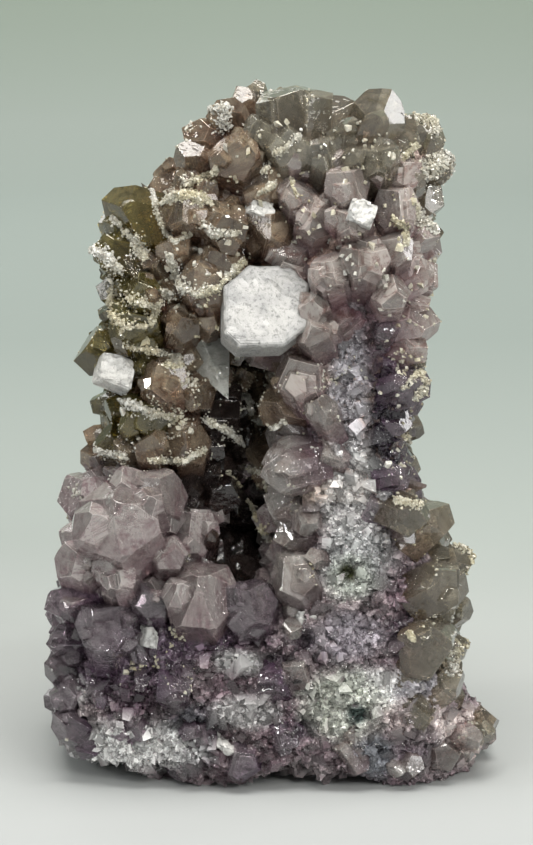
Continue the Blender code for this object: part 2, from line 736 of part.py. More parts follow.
def main():
    clear_scene()
    cluster = make_mass()
    surface = surface_of(cluster)
    front = front_crystals(surface, FRONT_POINTS)
    blunt = front_crystals(surface, BLUNT_POINTS)
    cluster.data.calc_loop_triangles()
    fill = fill_crystals(cluster.data, front + blunt)
    stubs = stub_crystals(cluster.data)
    thin_mass(cluster)
    points = add_crystals("point", front + fill, POINT_SEED)
    points += add_crystals("stub", stubs, STUB_SHAPE_SEED)
    points += add_crystals("blunt", blunt, POINT_SEED, BLUNT_SLOPE)
    boolean(cluster, "UNION", gather("points", points))
    discard(points)
    cuts = make_calcites(surface_of(cluster))
    cuts.append(box("hollow", HOLLOW_LOW, HOLLOW_HIGH))
    cuts.append(box("ground", (-0.1, -0.1, -0.1), (0.1, 0.1, 0)))
    boolean(cluster, "DIFFERENCE", gather("cuts", cuts))
    discard(cuts)
    clean(cluster)
    paint(cluster, AMETHYST)
    make_crust()
    for obj in bpy.context.scene.objects:
        obj.data.transform(Matrix.Translation(-FOOT_MIDDLE))


main()
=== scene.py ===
"""Looks of the amethyst and calcite cluster, in metres, X to the right, Y away from the camera, Z up.

The massive quartz, the points, the druse and the broken bits are meshes that stand for the cluster's solid.
The large points have the same roots, tips and widths as the solid's, with smaller ones between them. The
calcites are remade with rough faces, and the crust in the hollow keeps its solid, painted near black as
shade.
"""

import itertools
import math
import random

import bmesh
import bpy
import numpy as np
from mathutils import Matrix, Vector, noise
from mathutils.bvhtree import BVHTree


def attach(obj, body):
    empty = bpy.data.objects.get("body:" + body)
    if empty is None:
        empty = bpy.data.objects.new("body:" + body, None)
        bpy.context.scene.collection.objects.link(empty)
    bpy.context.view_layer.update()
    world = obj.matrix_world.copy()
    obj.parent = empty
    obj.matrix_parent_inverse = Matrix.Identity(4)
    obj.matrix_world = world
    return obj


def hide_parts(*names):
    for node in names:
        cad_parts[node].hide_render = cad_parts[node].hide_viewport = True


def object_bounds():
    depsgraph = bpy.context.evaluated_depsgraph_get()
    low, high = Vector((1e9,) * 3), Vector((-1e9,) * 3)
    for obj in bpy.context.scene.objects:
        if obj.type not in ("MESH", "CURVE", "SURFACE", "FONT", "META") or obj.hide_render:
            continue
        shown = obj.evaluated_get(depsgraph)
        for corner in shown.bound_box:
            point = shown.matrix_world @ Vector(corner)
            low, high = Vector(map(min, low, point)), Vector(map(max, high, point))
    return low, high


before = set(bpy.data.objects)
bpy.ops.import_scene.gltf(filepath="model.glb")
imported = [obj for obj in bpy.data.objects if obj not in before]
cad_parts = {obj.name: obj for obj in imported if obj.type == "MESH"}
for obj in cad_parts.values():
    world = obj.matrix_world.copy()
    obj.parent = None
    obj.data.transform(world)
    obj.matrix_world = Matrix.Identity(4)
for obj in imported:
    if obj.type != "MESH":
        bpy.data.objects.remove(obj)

CAD_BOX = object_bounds()

MM = 0.001

# The front view that the places are read from: pixels, and what a pixel spans in the middle of the
# cluster
PIXEL = 0.17 * MM
FRAME_MIDDLE = (266.5, 422.5)
VIEW_DISTANCE = 480 * MM
VIEW_ELEVATION = math.radians(12)
VIEW_AIM = Vector((-0.5 * MM, 0, 60 * MM))
SIGHT = Vector((0, math.cos(VIEW_ELEVATION), -math.sin(VIEW_ELEVATION)))
SIGHT_UP = Vector((0, math.sin(VIEW_ELEVATION), math.cos(VIEW_ELEVATION)))
EYE = VIEW_AIM - SIGHT * VIEW_DISTANCE

# The front outline in pixels, from the lower left round by the top
OUTLINE = (
    (60, 745), (45, 700), (40, 655), (46, 600), (55, 560), (60, 505), (78, 470), (90, 450),
    (84, 440), (98, 400), (103, 385), (76, 352), (94, 320), (98, 290), (92, 250), (100, 205),
    (150, 174), (188, 142), (184, 122), (215, 96), (240, 85), (256, 78), (268, 83), (324, 88),
    (324, 118), (345, 118), (388, 88), (402, 98), (406, 108), (434, 112), (438, 138), (458, 156),
    (444, 188), (440, 210), (448, 235), (440, 258), (440, 272), (437, 290), (428, 305), (441, 320),
    (432, 335), (430, 370), (427, 400), (414, 440), (418, 478), (418, 494), (446, 500), (448, 530),
    (474, 548), (475, 560), (464, 580), (472, 600), (462, 620), (467, 660), (457, 690), (490, 708),
    (504, 720), (503, 736), (470, 760), (440, 786), (350, 773), (310, 763), (240, 776), (180, 776),
    (120, 763),
)
# Above the bare foot the mass takes these shares of the outline's width and height, so that the points
# have room
SHARE_ACROSS = 0.86
SHARE_UP = 0.91
MASS_MIDDLE = (262, 440)
BARE_BELOW = 695
TRIM_NEAR = -40 * MM
TRIM_FAR = 40 * MM

# The massive quartz under the points: centre, half sizes, turn about Y in degrees, squareness
LUMPS = {
    "base": ((-1.5, 2, 13), (33, 19, 20), 0, 5),
    "base_front": ((2, -8, 15), (29, 10, 15), 0, 4),
    "toe": ((29, -2, 6), (11, 9, 8), -8, 3),
    "left_bulge": ((-24, -3, 36), (11.5, 14, 14), 0, 2.5),
    "left_tower": ((-17, 4, 66), (11, 14, 32), 2, 2.5),
    "left_shoulder": ((-16, 2, 84), (12, 14, 16), 12, 2.5),
    "right_column": ((14.5, -5, 58), (10.5, 13, 56), 0, 3),
    "column_foot": ((17, -6, 28), (13.5, 12.5, 18), 0, 3),
    "crown": ((2, 1, 99), (20, 14, 14), 0, 2.5),
    "crown_right": ((14, 0, 102), (12, 13, 12), 0, 2.5),
    "back_wall": ((0, 13, 58), (24, 9, 54), 0, 3),
}
# The lumps join softly: a voxel remesh, then a smoothing
SOFT_JOIN = (
    ("REMESH", {"mode": "VOXEL", "voxel_size": 1.6 * MM}),
    ("SMOOTH", {"factor": 0.5, "iterations": 5}),
)
# The rough surface: how high, and the widths of its coarse and fine waves
ROUGHNESS = 1.3 * MM
COARSE_WAVE = 9 * MM
FINE_WAVE = 4 * MM
FINE_SHARE = 0.6

# Corners of convex shapes: the least angle of three planes that meet, the slack, and how near ones merge
LEAST_CORNER = 1e-4
CORNER_SLACK = 1e-8
CORNER_MERGE = 2e-5

# Quartz points: slope of an end face, a prism's share of the width, and how uneven the faces are
END_SLOPE = 1.15
PRISM_SHARE = 0.92
PRISM_UNEVEN = 0.12
END_UNEVEN = 0.11
SLOPE_UNEVEN = 0.05
APEX_SHIFT = 0.12
# The three small end faces lie this share of the width behind the broad ones, on wide crystals only
SMALL_END_BACK = 0.07
SIX_ENDS_FROM = 11.8 * MM
BLUNT_SLOPE = 0.3
ROOT_DEPTH = 3 * MM
POINT_SEED = 5
STUB_SHAPE_SEED = 6

# Points read from the front view: root pixel, tip pixel, reach towards the viewer, width
EDGE_LEFT = (
    ((152, 222), (97, 206), 1.5, 9.5),
    ((132, 262), (87, 249), 2, 7),
    ((122, 345), (70, 358), 1, 9),
    ((118, 292), (94, 286), 1, 4.5),
    ((112, 405), (89, 399), 1.5, 4.5),
    ((105, 440), (82, 430), 1, 4),
    ((104, 462), (78, 450), 1.5, 5),
    ((92, 505), (63, 474), 1, 8),
    ((88, 540), (55, 532), 1, 5.5),
    ((85, 600), (43, 612), 2, 6.5),
    ((76, 640), (44, 640), 1, 6),
    ((76, 676), (41, 664), 2, 5),
    ((72, 704), (42, 694), 2, 4),
    ((84, 735), (50, 716), 2, 5.5),
    ((178, 178), (150, 170), 1, 6),
    ((200, 162), (176, 143), 2, 6),
)
CROWN = (
    ((216, 140), (181, 124), 1.5, 6),
    ((238, 130), (217, 95), 2, 6),
    ((250, 118), (236, 84), 1, 5),
    ((258, 112), (255, 77), -1, 4),
    ((366, 146), (392, 87), 2, 8.5),
    ((345, 150), (350, 112), 2, 6),
    ((416, 158), (431, 110), 1, 7),
    ((424, 176), (458, 156), 1, 5.5),
    ((418, 210), (444, 188), 2, 5),
    ((418, 240), (448, 234), 2, 5),
    ((405, 282), (437, 262), 0, 7),
    ((404, 325), (441, 318), 2, 6),
    ((404, 350), (430, 345), 3, 5),
)
EDGE_RIGHT = (
    ((398, 388), (429, 378), 3, 6.5),
    ((400, 430), (422, 422), 3, 4.5),
    ((402, 470), (420, 458), 2, 5),
    ((415, 532), (449, 499), 1, 7.5),
    ((440, 565), (478, 552), 1, 5),
    ((428, 592), (464, 574), 4, 8.5),
    ((445, 620), (474, 600), 2, 5),
    ((448, 652), (468, 640), 2, 5),
    ((440, 690), (466, 672), 2, 5.5),
)
UPPER_FACE = (
    ((196, 216), (184, 188), 8, 10),
    ((238, 168), (232, 142), 7, 8.5),
    ((262, 148), (262, 118), 5, 7),
    ((290, 160), (292, 128), 6, 8),
    ((322, 168), (328, 142), 6, 7.5),
    ((372, 175), (370, 142), 8, 9),
    ((400, 185), (405, 160), 6, 7),
    ((216, 288), (210, 252), 9, 12),
    ((226, 238), (226, 214), 8, 8),
    ((262, 190), (264, 168), 6, 8),
    ((270, 232), (276, 208), 6, 8.5),
    ((298, 206), (300, 182), 6, 7.5),
    ((316, 232), (322, 206), 7, 7.5),
    ((346, 200), (348, 172), 8, 8),
    ((352, 232), (350, 208), 8, 7),
    ((394, 222), (398, 194), 7, 7),
    ((334, 285), (328, 258), 8, 7.5),
    ((362, 275), (364, 248), 9, 8),
    ((392, 262), (396, 240), 7, 6),
    ((388, 305), (394, 285), 8, 6.5),
    ((296, 282), (284, 262), 7.5, 6.5),
    ((318, 318), (310, 300), 7, 5.5),
    ((180, 262), (168, 238), 6, 5.5),
    ((150, 300), (136, 282), 6, 6.5),
)
LEFT_FACE = (
    ((138, 332), (126, 304), 7, 9),
    ((168, 392), (158, 362), 6, 9),
    ((182, 338), (186, 318), 7, 6),
    ((205, 330), (212, 312), 6, 5),
    ((150, 425), (140, 404), 7, 8),
    ((118, 452), (112, 434), 6, 6.5),
    ((156, 462), (150, 436), 7, 6),
    ((190, 458), (190, 434), 7, 7.5),
    ((226, 448), (232, 430), 4, 6),
)
LILAC_GROUP = (
    ((128, 535), (112, 498), 12, 15.5),
    ((156, 512), (160, 482), 9, 9.5),
    ((188, 548), (196, 516), 7, 8.5),
    ((80, 574), (72, 552), 8, 7.5),
    ((120, 582), (114, 560), 8, 8),
    ((166, 566), (172, 548), 7, 6),
    ((204, 608), (198, 576), 10, 12),
    ((250, 618), (248, 592), 8, 9),
    ((108, 645), (100, 614), 8, 9.5),
    ((150, 612), (146, 592), 6, 6),
    ((72, 705), (64, 684), 7, 6),
)
COLUMN_FLANK = (
    ((305, 392), (290, 362), 6, 8.5),
    ((300, 412), (254, 402), 3, 7.5),
    ((306, 462), (254, 474), 3, 9),
    ((298, 510), (262, 494), 3, 7.5),
    ((292, 548), (256, 520), 1, 7),
    ((302, 590), (280, 562), 6, 8),
    ((322, 345), (310, 322), 7, 6),
    ((330, 425), (318, 400), 5, 5),
)
FRONT_POINTS = EDGE_LEFT + CROWN + EDGE_RIGHT + UPPER_FACE + LEFT_FACE + LILAC_GROUP + COLUMN_FLANK
# Blunt crystals on the crown, read the same way
BLUNT_POINTS = (
    ((288, 150), (284, 83), -1, 9.5),
    ((310, 150), (313, 88), 0, 6.5),
)

# Points that cover the sides, the top and the back, and smaller ones between all of them: places tried,
# widths in millimetres, spacing as a share of the widths, and how far they lean. None grow below the
# floor or on faces that look down more than so much. Of the reaches, as shares of the width, the first
# that stays inside the outline is taken
FILL = {
    "seed": 11,
    "tries": 1100,
    "widths": (9.5, 14),
    "spacing": 0.9,
    "lean": 0.35,
    "floor": 9 * MM,
    "downward": -0.5,
    "reaches": (0.8, 0.6, 0.48, 0.38),
}
SMALL = {
    "seed": 31,
    "tries": 9000,
    "widths": (3.0, 7.0),
    "spacing": 0.62,
    "lean": 0.45,
    "floor": 3 * MM,
    "downward": -0.7,
    "reaches": (1.0, 0.7, 0.45, 0.3),
}
FILL_LIFT = 0.15
# Patches of bare quartz on the back: how wide, and the noise level over which the quartz is bare
BARE_SIZE = 22 * MM
BARE_LEVEL = 0.12
BARE_SHIFT = Vector((3, 0, 1))
BACKWARD = 0.3
# Bare, broken quartz on the front: centre pixel, half width and half height in pixels
BROKEN = (
    ((352, 440), 48, 150),
    ((260, 705), 215, 78),
    ((372, 600), 70, 60),
)
# Faces whose normal has less than this along Y look to the front
FRONTAL = -0.25
# Pale, fine-grained patches of it, without stubs
SUGAR_FIELDS = (
    ((350, 460), 24, 140),
    ((352, 568), 42, 36),
    ((130, 748), 64, 20),
    ((362, 698), 48, 34),
    ((350, 636), 34, 22),
    ((246, 712), 30, 15),
    ((240, 662), 24, 11),
    ((480, 728), 30, 18),
)

# Middle of the finished cluster's foot on the ground, which becomes the origin
FOOT_MIDDLE = Vector((-0.1, 1.8, 0)) * MM

# The large calcite plate: pixels round its front face, its thickness and bevel, its lean back and turn
# right. The wear of a calcite is the bevel of its edges, the cuts of each face, and how rough it is
PLATE_CORNERS = (
    (249, 264), (290, 264), (310, 284), (310, 326),
    (284, 346), (239, 347), (224, 333), (224, 285),
)
PLATE_CENTRE = (266, 306)
PLATE_Y = -20.5 * MM
PLATE_THICK = 5.2 * MM
PLATE_BEVEL = 0.35 * MM
PLATE_LEAN = math.radians(29)
PLATE_TURN = math.radians(8)
PLATE_WEAR = (0.12 * MM, 6, 0.3 * MM)

# Small calcite blocks: pixel, reach out of the surface, half sizes, lean about X, Y and Z, skew, trimmed
# corners
BLOCK_WEAR = (0.1 * MM, 5, 0.8 * MM)
TOP = ((0, 0, 1), 0.8)
UPPER_RIGHT = ((1, -1, 1), 0.72)
UPPER_LEFT = ((-1, -1, 1), 0.72)
LOWER_RIGHT = ((1, -1, -1), 0.75)
LOWER_LEFT = ((-1, -1, -1), 0.75)
BLOCKS = {
    "calcite_rhomb": ((114, 371), 2.4, (2.7, 2.3, 2.6), (-0.5, 0.15, 0.1), 0.25, (TOP, UPPER_RIGHT)),
    "calcite_button": (
        (362, 212), 1.3, (2.1, 1.9, 2.2), (-0.3, 0.35, 0.1), 0,
        (TOP, UPPER_RIGHT, UPPER_LEFT, LOWER_RIGHT, LOWER_LEFT),
    ),
    "calcite_tooth": ((149, 636), 0.6, (1.2, 1.4, 1.9), (-0.2, 0.2, 0.3), 0.2, (UPPER_RIGHT, UPPER_LEFT)),
    "calcite_chip": (
        (226, 746), 0.5, (1.8, 1.4, 0.9), (0.1, 0.3, -0.2), 0.35,
        (UPPER_RIGHT, UPPER_LEFT, LOWER_RIGHT),
    ),
    "calcite_flake": ((305, 618), 0.3, (1.5, 1.2, 1.3), (-0.2, -0.3, 0.2), 0.2, (UPPER_RIGHT,)),
    "calcite_block": ((260, 208), 0.6, (1.9, 1.6, 1.4), (-0.3, 0.2, 0.25), 0.2, (TOP, UPPER_RIGHT)),
}

# The clear calcite that points down into the hollow: root and tip pixels, depths from the surface, half
# widths
SPIKE_ROOT = (206, 348)
SPIKE_TIP = (229, 401)
SPIKE_SURFACE = (212, 356)
SPIKE_ROOT_DEPTH = 2 * MM
SPIKE_REACH = 4.5 * MM
SPIKE_HALF_ACROSS = 4.4 * MM
SPIKE_HALF_OUT = 3.4 * MM
SPIKE_WEAR = (0.08 * MM, 3, 0.1 * MM)
# The waves of a calcite's uneven surface
CALCITE_WAVE = 2.2 * MM
CALCITE_GRAIN = 0.7 * MM

# Low broken stubs on the bare quartz
STUB_SEED = 4
STUB_TRIES = 90
STUB_WIDTH = (6.5, 10.0)
STUB_SPACING = 0.8
STUB_RISE = (1.2, 3.0)
STUB_LEAN = 0.6

# Sub-points on the flanks of large points: how many, their share of the width, how far back from the tip
# and out from the axis they end as shares of the width, how they lean, their share of the length, and
# their lowest root
SIDE_SEED = 8
SIDE_COUNT = (1, 4)
SIDE_SHARE = (0.3, 0.55)
SIDE_BACK = (0.1, 0.6)
SIDE_OUT = (0.28, 0.42)
SIDE_LEAN = (-0.05, 0.25)
SIDE_LENGTH = 0.6
SIDE_FLOOR = 2 * MM

# Smaller crystals in line with wide points: from which width, how many, their share of the width, how far
# out they reach and how much lower their tips lie, as shares of the width
TWIN_FROM = 7 * MM
TWIN_COUNT = (1, 3)
TWIN_SHARE = (0.4, 0.75)
TWIN_EDGE = 0.53
TWIN_DROP = (0.03, 0.18)

# Wear of the points: chips off their corners, how deep as a share of the width, and the bevel of their
# edges
WEAR_SEED = 23
NICKS = (2, 5)
NICK_DEPTH = (0.005, 0.045)
EDGE_BEVEL = 0.09 * MM

# The massive quartz: voxel, and the cell sizes and tilts of its broken facets
FINE_VOXEL = 0.75 * MM
FACET_CELLS = ((6.5 * MM, 0.25), (2.4 * MM, 0.42), (1.1 * MM, 0.45))
TILT_SCATTER = 7.3
# Small pits in the broken front: centre pixel, radius in pixels, depth
PITS = (
    ((348, 573), 8, 1.1 * MM),
    ((298, 686), 7, 4.0 * MM),
    ((358, 714), 9, 1.6 * MM),
    ((306, 640), 9, 2.0 * MM),
    ((304, 729), 10, 1.8 * MM),
    ((418, 634), 10, 1.8 * MM),
    ((268, 664), 9, 1.5 * MM),
    ((184, 700), 8, 1.2 * MM),
)

# Grains: kinds of shape, how near and how far from the middle their sides are, how far they lean from
# square, stretch
GRAIN_KINDS = 16
GRAIN_LEAST = 0.34
CHIP_LEAST = 0.26
CUT_MOST = 0.5
SIDE_MOST = 0.55
GRAIN_SKEW = 0.4
GRAIN_SLACK = 1e-6
GRAIN_STRETCH = (0.7, 1.3)

# Sugary druse on the front: a line of pixels, width in pixels, grains in a square pixel, grain size in
# millimetres. The crowding and the fineness hold for all bands. Grains that lie deeper than the rest of a
# band are left out
DRUSE_SEED = 15
DRUSE_DEPTH = 6 * MM
DRUSE_CROWDING = 2.3
DRUSE_FINENESS = 0.53
DRUSE_CLOUD = 2.5 * MM
# Bands vary in width along their length, over this many pixels, and some grains stray out of them
BAND_WAVE = 9
STRAY_SHARE = 0.12
STRAY_REACH = 2.2
DRUSE_BANDS = (
    (((112, 217), (130, 236), (146, 257)), 15, 0.5, 0.6),
    (((90, 249), (106, 256), (120, 270)), 12, 0.5, 0.6),
    (((162, 204), (175, 195), (190, 194), (212, 204)), 14, 0.6, 0.6),
    (((184, 184), (214, 172)), 11, 0.4, 0.6),
    (((188, 122), (205, 108), (228, 108), (222, 128)), 20, 0.14, 0.6),
    (((150, 179), (155, 204), (165, 232), (174, 242), (192, 234)), 8, 0.4, 0.5),
    (((204, 224), (212, 235), (237, 233)), 8, 0.5, 0.6),
    (((169, 254), (179, 284), (197, 294), (219, 286), (242, 261)), 14, 0.5, 0.6),
    (((274, 154), (286, 148), (299, 135)), 9, 0.6, 0.5),
    (((259, 194), (274, 184)), 7, 0.6, 0.6),
    (((262, 172), (268, 168)), 7, 0.5, 0.6),
    (((291, 177), (296, 197)), 4, 0.5, 0.5),
    (((406, 115), (436, 122), (436, 135)), 13, 0.3, 0.6),
    (((403, 157), (418, 145)), 9, 0.5, 0.6),
    (((408, 184), (428, 169), (453, 155)), 24, 0.25, 0.6),
    (((393, 217), (406, 229), (406, 244)), 8, 0.5, 0.6),
    (((413, 209), (428, 222), (438, 232)), 22, 0.2, 0.6),
    (((112, 280), (108, 310), (125, 328), (150, 325), (160, 300)), 12, 0.3, 0.6),
    (((125, 300), (150, 305)), 20, 0.12, 0.6),
    (((163, 290), (168, 296)), 9, 0.5, 0.7),
    (((125, 346), (150, 350), (180, 358)), 9, 0.35, 0.6),
    (((166, 365), (175, 360), (183, 368)), 9, 0.4, 0.8),
    (((120, 400), (150, 412), (182, 420)), 16, 0.4, 0.6),
    (((205, 420), (230, 432), (250, 450)), 14, 0.4, 0.6),
    (((78, 443), (104, 452), (128, 458)), 8, 0.4, 0.6),
    (((150, 460), (187, 461), (204, 449)), 8, 0.45, 0.6),
    (((246, 396), (252, 412), (262, 424)), 9, 0.5, 0.6),
    (((248, 469), (262, 474), (276, 478)), 8, 0.5, 0.6),
    (((248, 500), (256, 516), (264, 534), (275, 546)), 8, 0.5, 0.6),
    (((258, 440), (272, 428), (286, 420)), 8, 0.3, 0.6),
    (((402, 388), (420, 372), (428, 385), (415, 398)), 8, 0.4, 0.6),
    (((402, 430), (412, 445), (420, 462)), 9, 0.4, 0.6),
    (((396, 500), (420, 505)), 12, 0.3, 0.6),
    (((455, 545), (474, 552), (470, 575)), 8, 0.35, 0.6),
    (((440, 655), (462, 650), (450, 680)), 12, 0.25, 0.6),
    (((410, 633), (414, 640)), 5, 1.0, 0.9),
)
# Single white grains: left, top, right and bottom pixels of a field, and how many
SPECK_SEED = 6
SPECK_SIZE = (0.25, 0.85)
SPECK_FIELDS = (
    ((185, 120, 330, 262), 75),
    ((100, 210, 240, 440), 90),
    ((330, 120, 450, 300), 80),
    ((380, 300, 440, 480), 50),
)
# Patches of grains on the sides, the top and the back: how many, radius in millimetres, grains in a
# square millimetre, size, lowest place, and from how high above the quartz and how far down they drop in
# millimetres
WILD_SEED = 14
WILD_PATCHES = 110
WILD_RADIUS = (1.5, 4.2)
WILD_DENSITY = 6
WILD_SIZE = (0.25, 0.6)
WILD_FRONTAL = -0.35
WILD_FLOOR = 14 * MM
WILD_ABOVE = 14
WILD_DROP = 20 * MM
# Frosted edges of points: patch size, the noise level over which an edge is frosted, and the spacing,
# size and spread of its grains. Only edges that look away from the root by more than so much carry any
RIM_SEED = 19
RIM_PATCH = 8 * MM
RIM_LEVEL = 0.24
RIM_STEP = 1.3 * MM
RIM_SIZE = (0.12, 0.38)
RIM_SPREAD = 0.3 * MM
RIM_SINK = 0.1 * MM
RIM_FACING = -0.1
# Where the edges carry less frost: lowest and highest, left and right limits in millimetres, and how much
# less
SHY_ZONES = (
    (30, 52, -99, 2, 0.45),
    (-99, 30, -99, 2, 0.2),
    (80, 999, -12, 20, 0.4),
)

# Glassy splinters on the broken quartz: how many, least and greatest size in millimetres, how deep they
# sink. They also lie round the foot, and stay out of the pits
CHIP_SEED = 12
CHIP_FOOT = 9 * MM
CHIP_DOWNWARD = -0.6
CHIP_PIT = 0.3 * MM
CHIP_SORTS = (
    (2700, 0.8, 2.0, 0.25),
    (5400, 0.4, 0.95, 0.1),
)
# Glassy lumps among them, read the same way, and how many corners each has lost
LUMP_SEED = 27
LUMP_SORTS = (
    (130, 2.8, 4.6, 0.4),
    (850, 1.3, 2.6, 0.3),
)
LUMP_CUTS = (2, 4)
# Shades of single splinters, lumps and grains of sugar over the patch below them, by their share of all
# Splinter shades differ at random; the brightest, several times as light as the patch below, are painted
# glints
CHIP_SHADES = ((0.0, 0.65), (0.5, 1.25), (0.85, 1.9), (1.0, 4.2))
LUMP_SHADES = ((0.0, 0.5), (0.5, 0.85), (0.9, 1.2), (1.0, 1.7))
SUGAR_SHADES = ((0.0, 0.6), (0.6, 1.1), (1.0, 1.8))
# Fine sugar on the pale patches of the broken front, read like the splinters, and how its limits fray
SUGAR_SEED = 41
SUGAR_SORTS = ((7000, 0.18, 0.55, 0.1),)
SUGAR_FRAY = 2.5 * MM
SUGAR_WAVE = 4 * MM
# From here on the toe's end is drawn in to the solid's reach
TOE_FROM = 33 * MM
TOE_SHARE = 0.62

# The massive quartz's colours by zone, the first that fits: its lowest place and its right limit in
# millimetres, the colour, and that of the pale clouds in it
CLOUD_SHIFT = Vector((5, 2, 7))
MASS_ZONES = (
    (50, 3, (0.13, 0.08, 0.05), (0.55, 0.48, 0.42)),
    (50, 999, (0.36, 0.25, 0.215), (0.55, 0.48, 0.42)),
    (-99, 999, (0.17, 0.12, 0.14), (0.4, 0.37, 0.36)),
)
# Patches of colour in the broken quartz of the front: centre pixel, half sizes in pixels, colour,
# strength. The near-black ones in and beside the mouth of the hollow and in the deepest pit are painted
# shade. A patch reaches to this share of its half sizes, and fades over so much of them
PATCH_REACH = 1.3
PATCH_FADE = 0.6
PATCH_FRONTAL = 0.2
MILK = (0.6, 0.6, 0.59)
ASH = (0.43, 0.42, 0.45)
SLATE = (0.06, 0.06, 0.07)
DEEP_PURPLE = (0.028, 0.018, 0.028)
PURPLE = (0.08, 0.054, 0.082)
PALE_PINK = (0.85, 0.75, 0.72)
GREEN_WHITE = (0.56, 0.59, 0.52)
TEAL = (0.05, 0.075, 0.07)
MOSS = (0.05, 0.055, 0.025)
# Near-black painted shade for the hollow and the deepest pit
PAINTED_SHADE = (0.006, 0.005, 0.005)
STAINS_AND_PAINTED_SHADE = (
    # Painted shade in the mouth of the hollow
    ((205, 482), 50, 28, PAINTED_SHADE, 0.9),
    ((238, 545), 30, 62, PAINTED_SHADE, 0.9),
    # Painted shade beside the mouth of the hollow, where the points lie in shadow
    ((180, 425), 62, 36, (0.05, 0.03, 0.02), 0.75),
    ((190, 630), 72, 26, PURPLE, 0.8),
    ((388, 440), 26, 95, (0.016, 0.01, 0.018), 1.0),
    ((310, 405), 14, 50, PURPLE, 0.85),
    ((374, 335), 48, 50, PURPLE, 0.75),
    ((348, 400), 20, 85, ASH, 0.9),
    ((352, 500), 32, 60, MILK, 0.75),
    ((355, 560), 38, 34, (0.45, 0.46, 0.46), 0.85),
    ((350, 578), 26, 22, (0.42, 0.45, 0.4), 0.8),
    ((348, 573), 9, 9, MOSS, 1.0),
    ((410, 628), 28, 14, DEEP_PURPLE, 0.9),
    ((330, 657), 22, 9, DEEP_PURPLE, 0.8),
    # Painted shade in the deepest pit
    ((298, 686), 8, 8, PAINTED_SHADE, 1.0),
    ((304, 727), 16, 14, DEEP_PURPLE, 0.8),
    ((275, 662), 18, 9, DEEP_PURPLE, 0.8),
    ((306, 640), 12, 12, DEEP_PURPLE, 0.8),
    ((130, 665), 60, 40, PURPLE, 0.85),
    ((135, 700), 30, 20, (0.055, 0.03, 0.045), 0.8),
    ((190, 735), 32, 36, SLATE, 0.95),
    ((130, 748), 70, 26, MILK, 0.95),
    ((240, 662), 26, 12, MILK, 0.85),
    ((68, 692), 18, 16, MILK, 0.75),
    ((350, 636), 34, 24, (0.4, 0.37, 0.41), 0.8),
    ((246, 713), 32, 16, MILK, 0.75),
    ((376, 686), 36, 20, MILK, 0.85),
    ((345, 705), 40, 34, GREEN_WHITE, 0.8),
    ((374, 758), 20, 22, (0.18, 0.205, 0.225), 0.75),
    ((358, 714), 11, 11, TEAL, 0.95),
    ((420, 690), 26, 20, ASH, 0.8),
    ((475, 735), 36, 28, PALE_PINK, 0.9),
    ((420, 720), 34, 24, PALE_PINK, 0.5),
    ((420, 745), 24, 20, PURPLE, 0.6),
    ((240, 745), 26, 18, (0.1, 0.08, 0.08), 0.6),
)

# Kinds of quartz: dark and light tint, share of milkiness, absorption colour and density, tint at the
# root
QUARTZ_LOOKS = {
    "olive": ((0.34, 0.29, 0.07), (0.88, 0.77, 0.32), 0.1, (0.58, 0.52, 0.1), 120, (0.55, 0.45, 0.2)),
    "clear": ((0.6, 0.54, 0.39), (1.0, 0.95, 0.78), 0.15, (0.74, 0.68, 0.44), 60, (0.64, 0.52, 0.48)),
    "smoky": ((0.44, 0.28, 0.18), (1.0, 0.83, 0.6), 0.19, (0.6, 0.42, 0.24), 70, (0.5, 0.3, 0.32)),
    "mauve": ((0.54, 0.37, 0.33), (1.0, 0.93, 0.86), 0.34, (0.72, 0.51, 0.46), 50, (0.62, 0.42, 0.52)),
    "lilac": ((0.54, 0.38, 0.4), (1.0, 0.94, 0.9), 0.32, (0.74, 0.56, 0.56), 45, (0.72, 0.54, 0.62)),
    "violet": ((0.28, 0.2, 0.25), (0.95, 0.84, 0.9), 0.14, (0.54, 0.42, 0.48), 100, (0.5, 0.35, 0.52)),
    "flank": ((0.5, 0.4, 0.36), (1.0, 0.96, 0.9), 0.26, (0.68, 0.57, 0.5), 60, (0.52, 0.38, 0.46)),
    # The shade look is painted shade: near-black points for the mouth of the hollow
    "shade": ((0.2, 0.13, 0.11), (0.5, 0.38, 0.34), 0.05, (0.3, 0.2, 0.18), 400, (0.4, 0.3, 0.3)),
}
CLEAR_CALCITE = ((0.6, 0.65, 0.58), (0.97, 1.0, 0.95), 0.36, (0.8, 0.88, 0.8), 15)
# The crust in the hollow: near-black quartz that is painted shade
HOLLOW_SHADE_QUARTZ = ((0.02, 0.015, 0.014), (0.08, 0.062, 0.058), 0.6, (0.5, 0.42, 0.4), 300)
QUARTZ_IOR = 1.544
QUARTZ_COAT = {"Coat Weight": 0.35, "Coat Roughness": 0.02}
MILKY_RADIUS = (1, 0.9, 0.85)
# The streaks inside a point: how they turn from one to the next, and how long they are drawn
VEIL_SPIN = (9, 17, 29)
VEIL_SQUASH = (1, 1, 0.08)
# Tints of single points, flecks of the massive quartz, shades and yellow casts of the druse
POINT_TINTS = ((0.0, (0.7, 0.68, 0.67)), (0.5, (0.95, 0.94, 0.94)), (1.0, (1, 1, 1)))
FLECK_TONES = ((0.36, (0.4, 0.38, 0.4)), (0.52, (0.95, 0.95, 0.95)), (0.66, (1.9, 1.9, 1.9)))
DRUSE_TONES = (
    (0.0, (0.38, 0.36, 0.32)),
    (0.3, (0.54, 0.53, 0.48)),
    (0.7, (0.68, 0.67, 0.63)),
    (1.0, (0.84, 0.83, 0.8)),
)
DRUSE_CAST = ((0.4, (0.94, 0.87, 0.66)), (0.6, (1, 0.99, 0.96)))
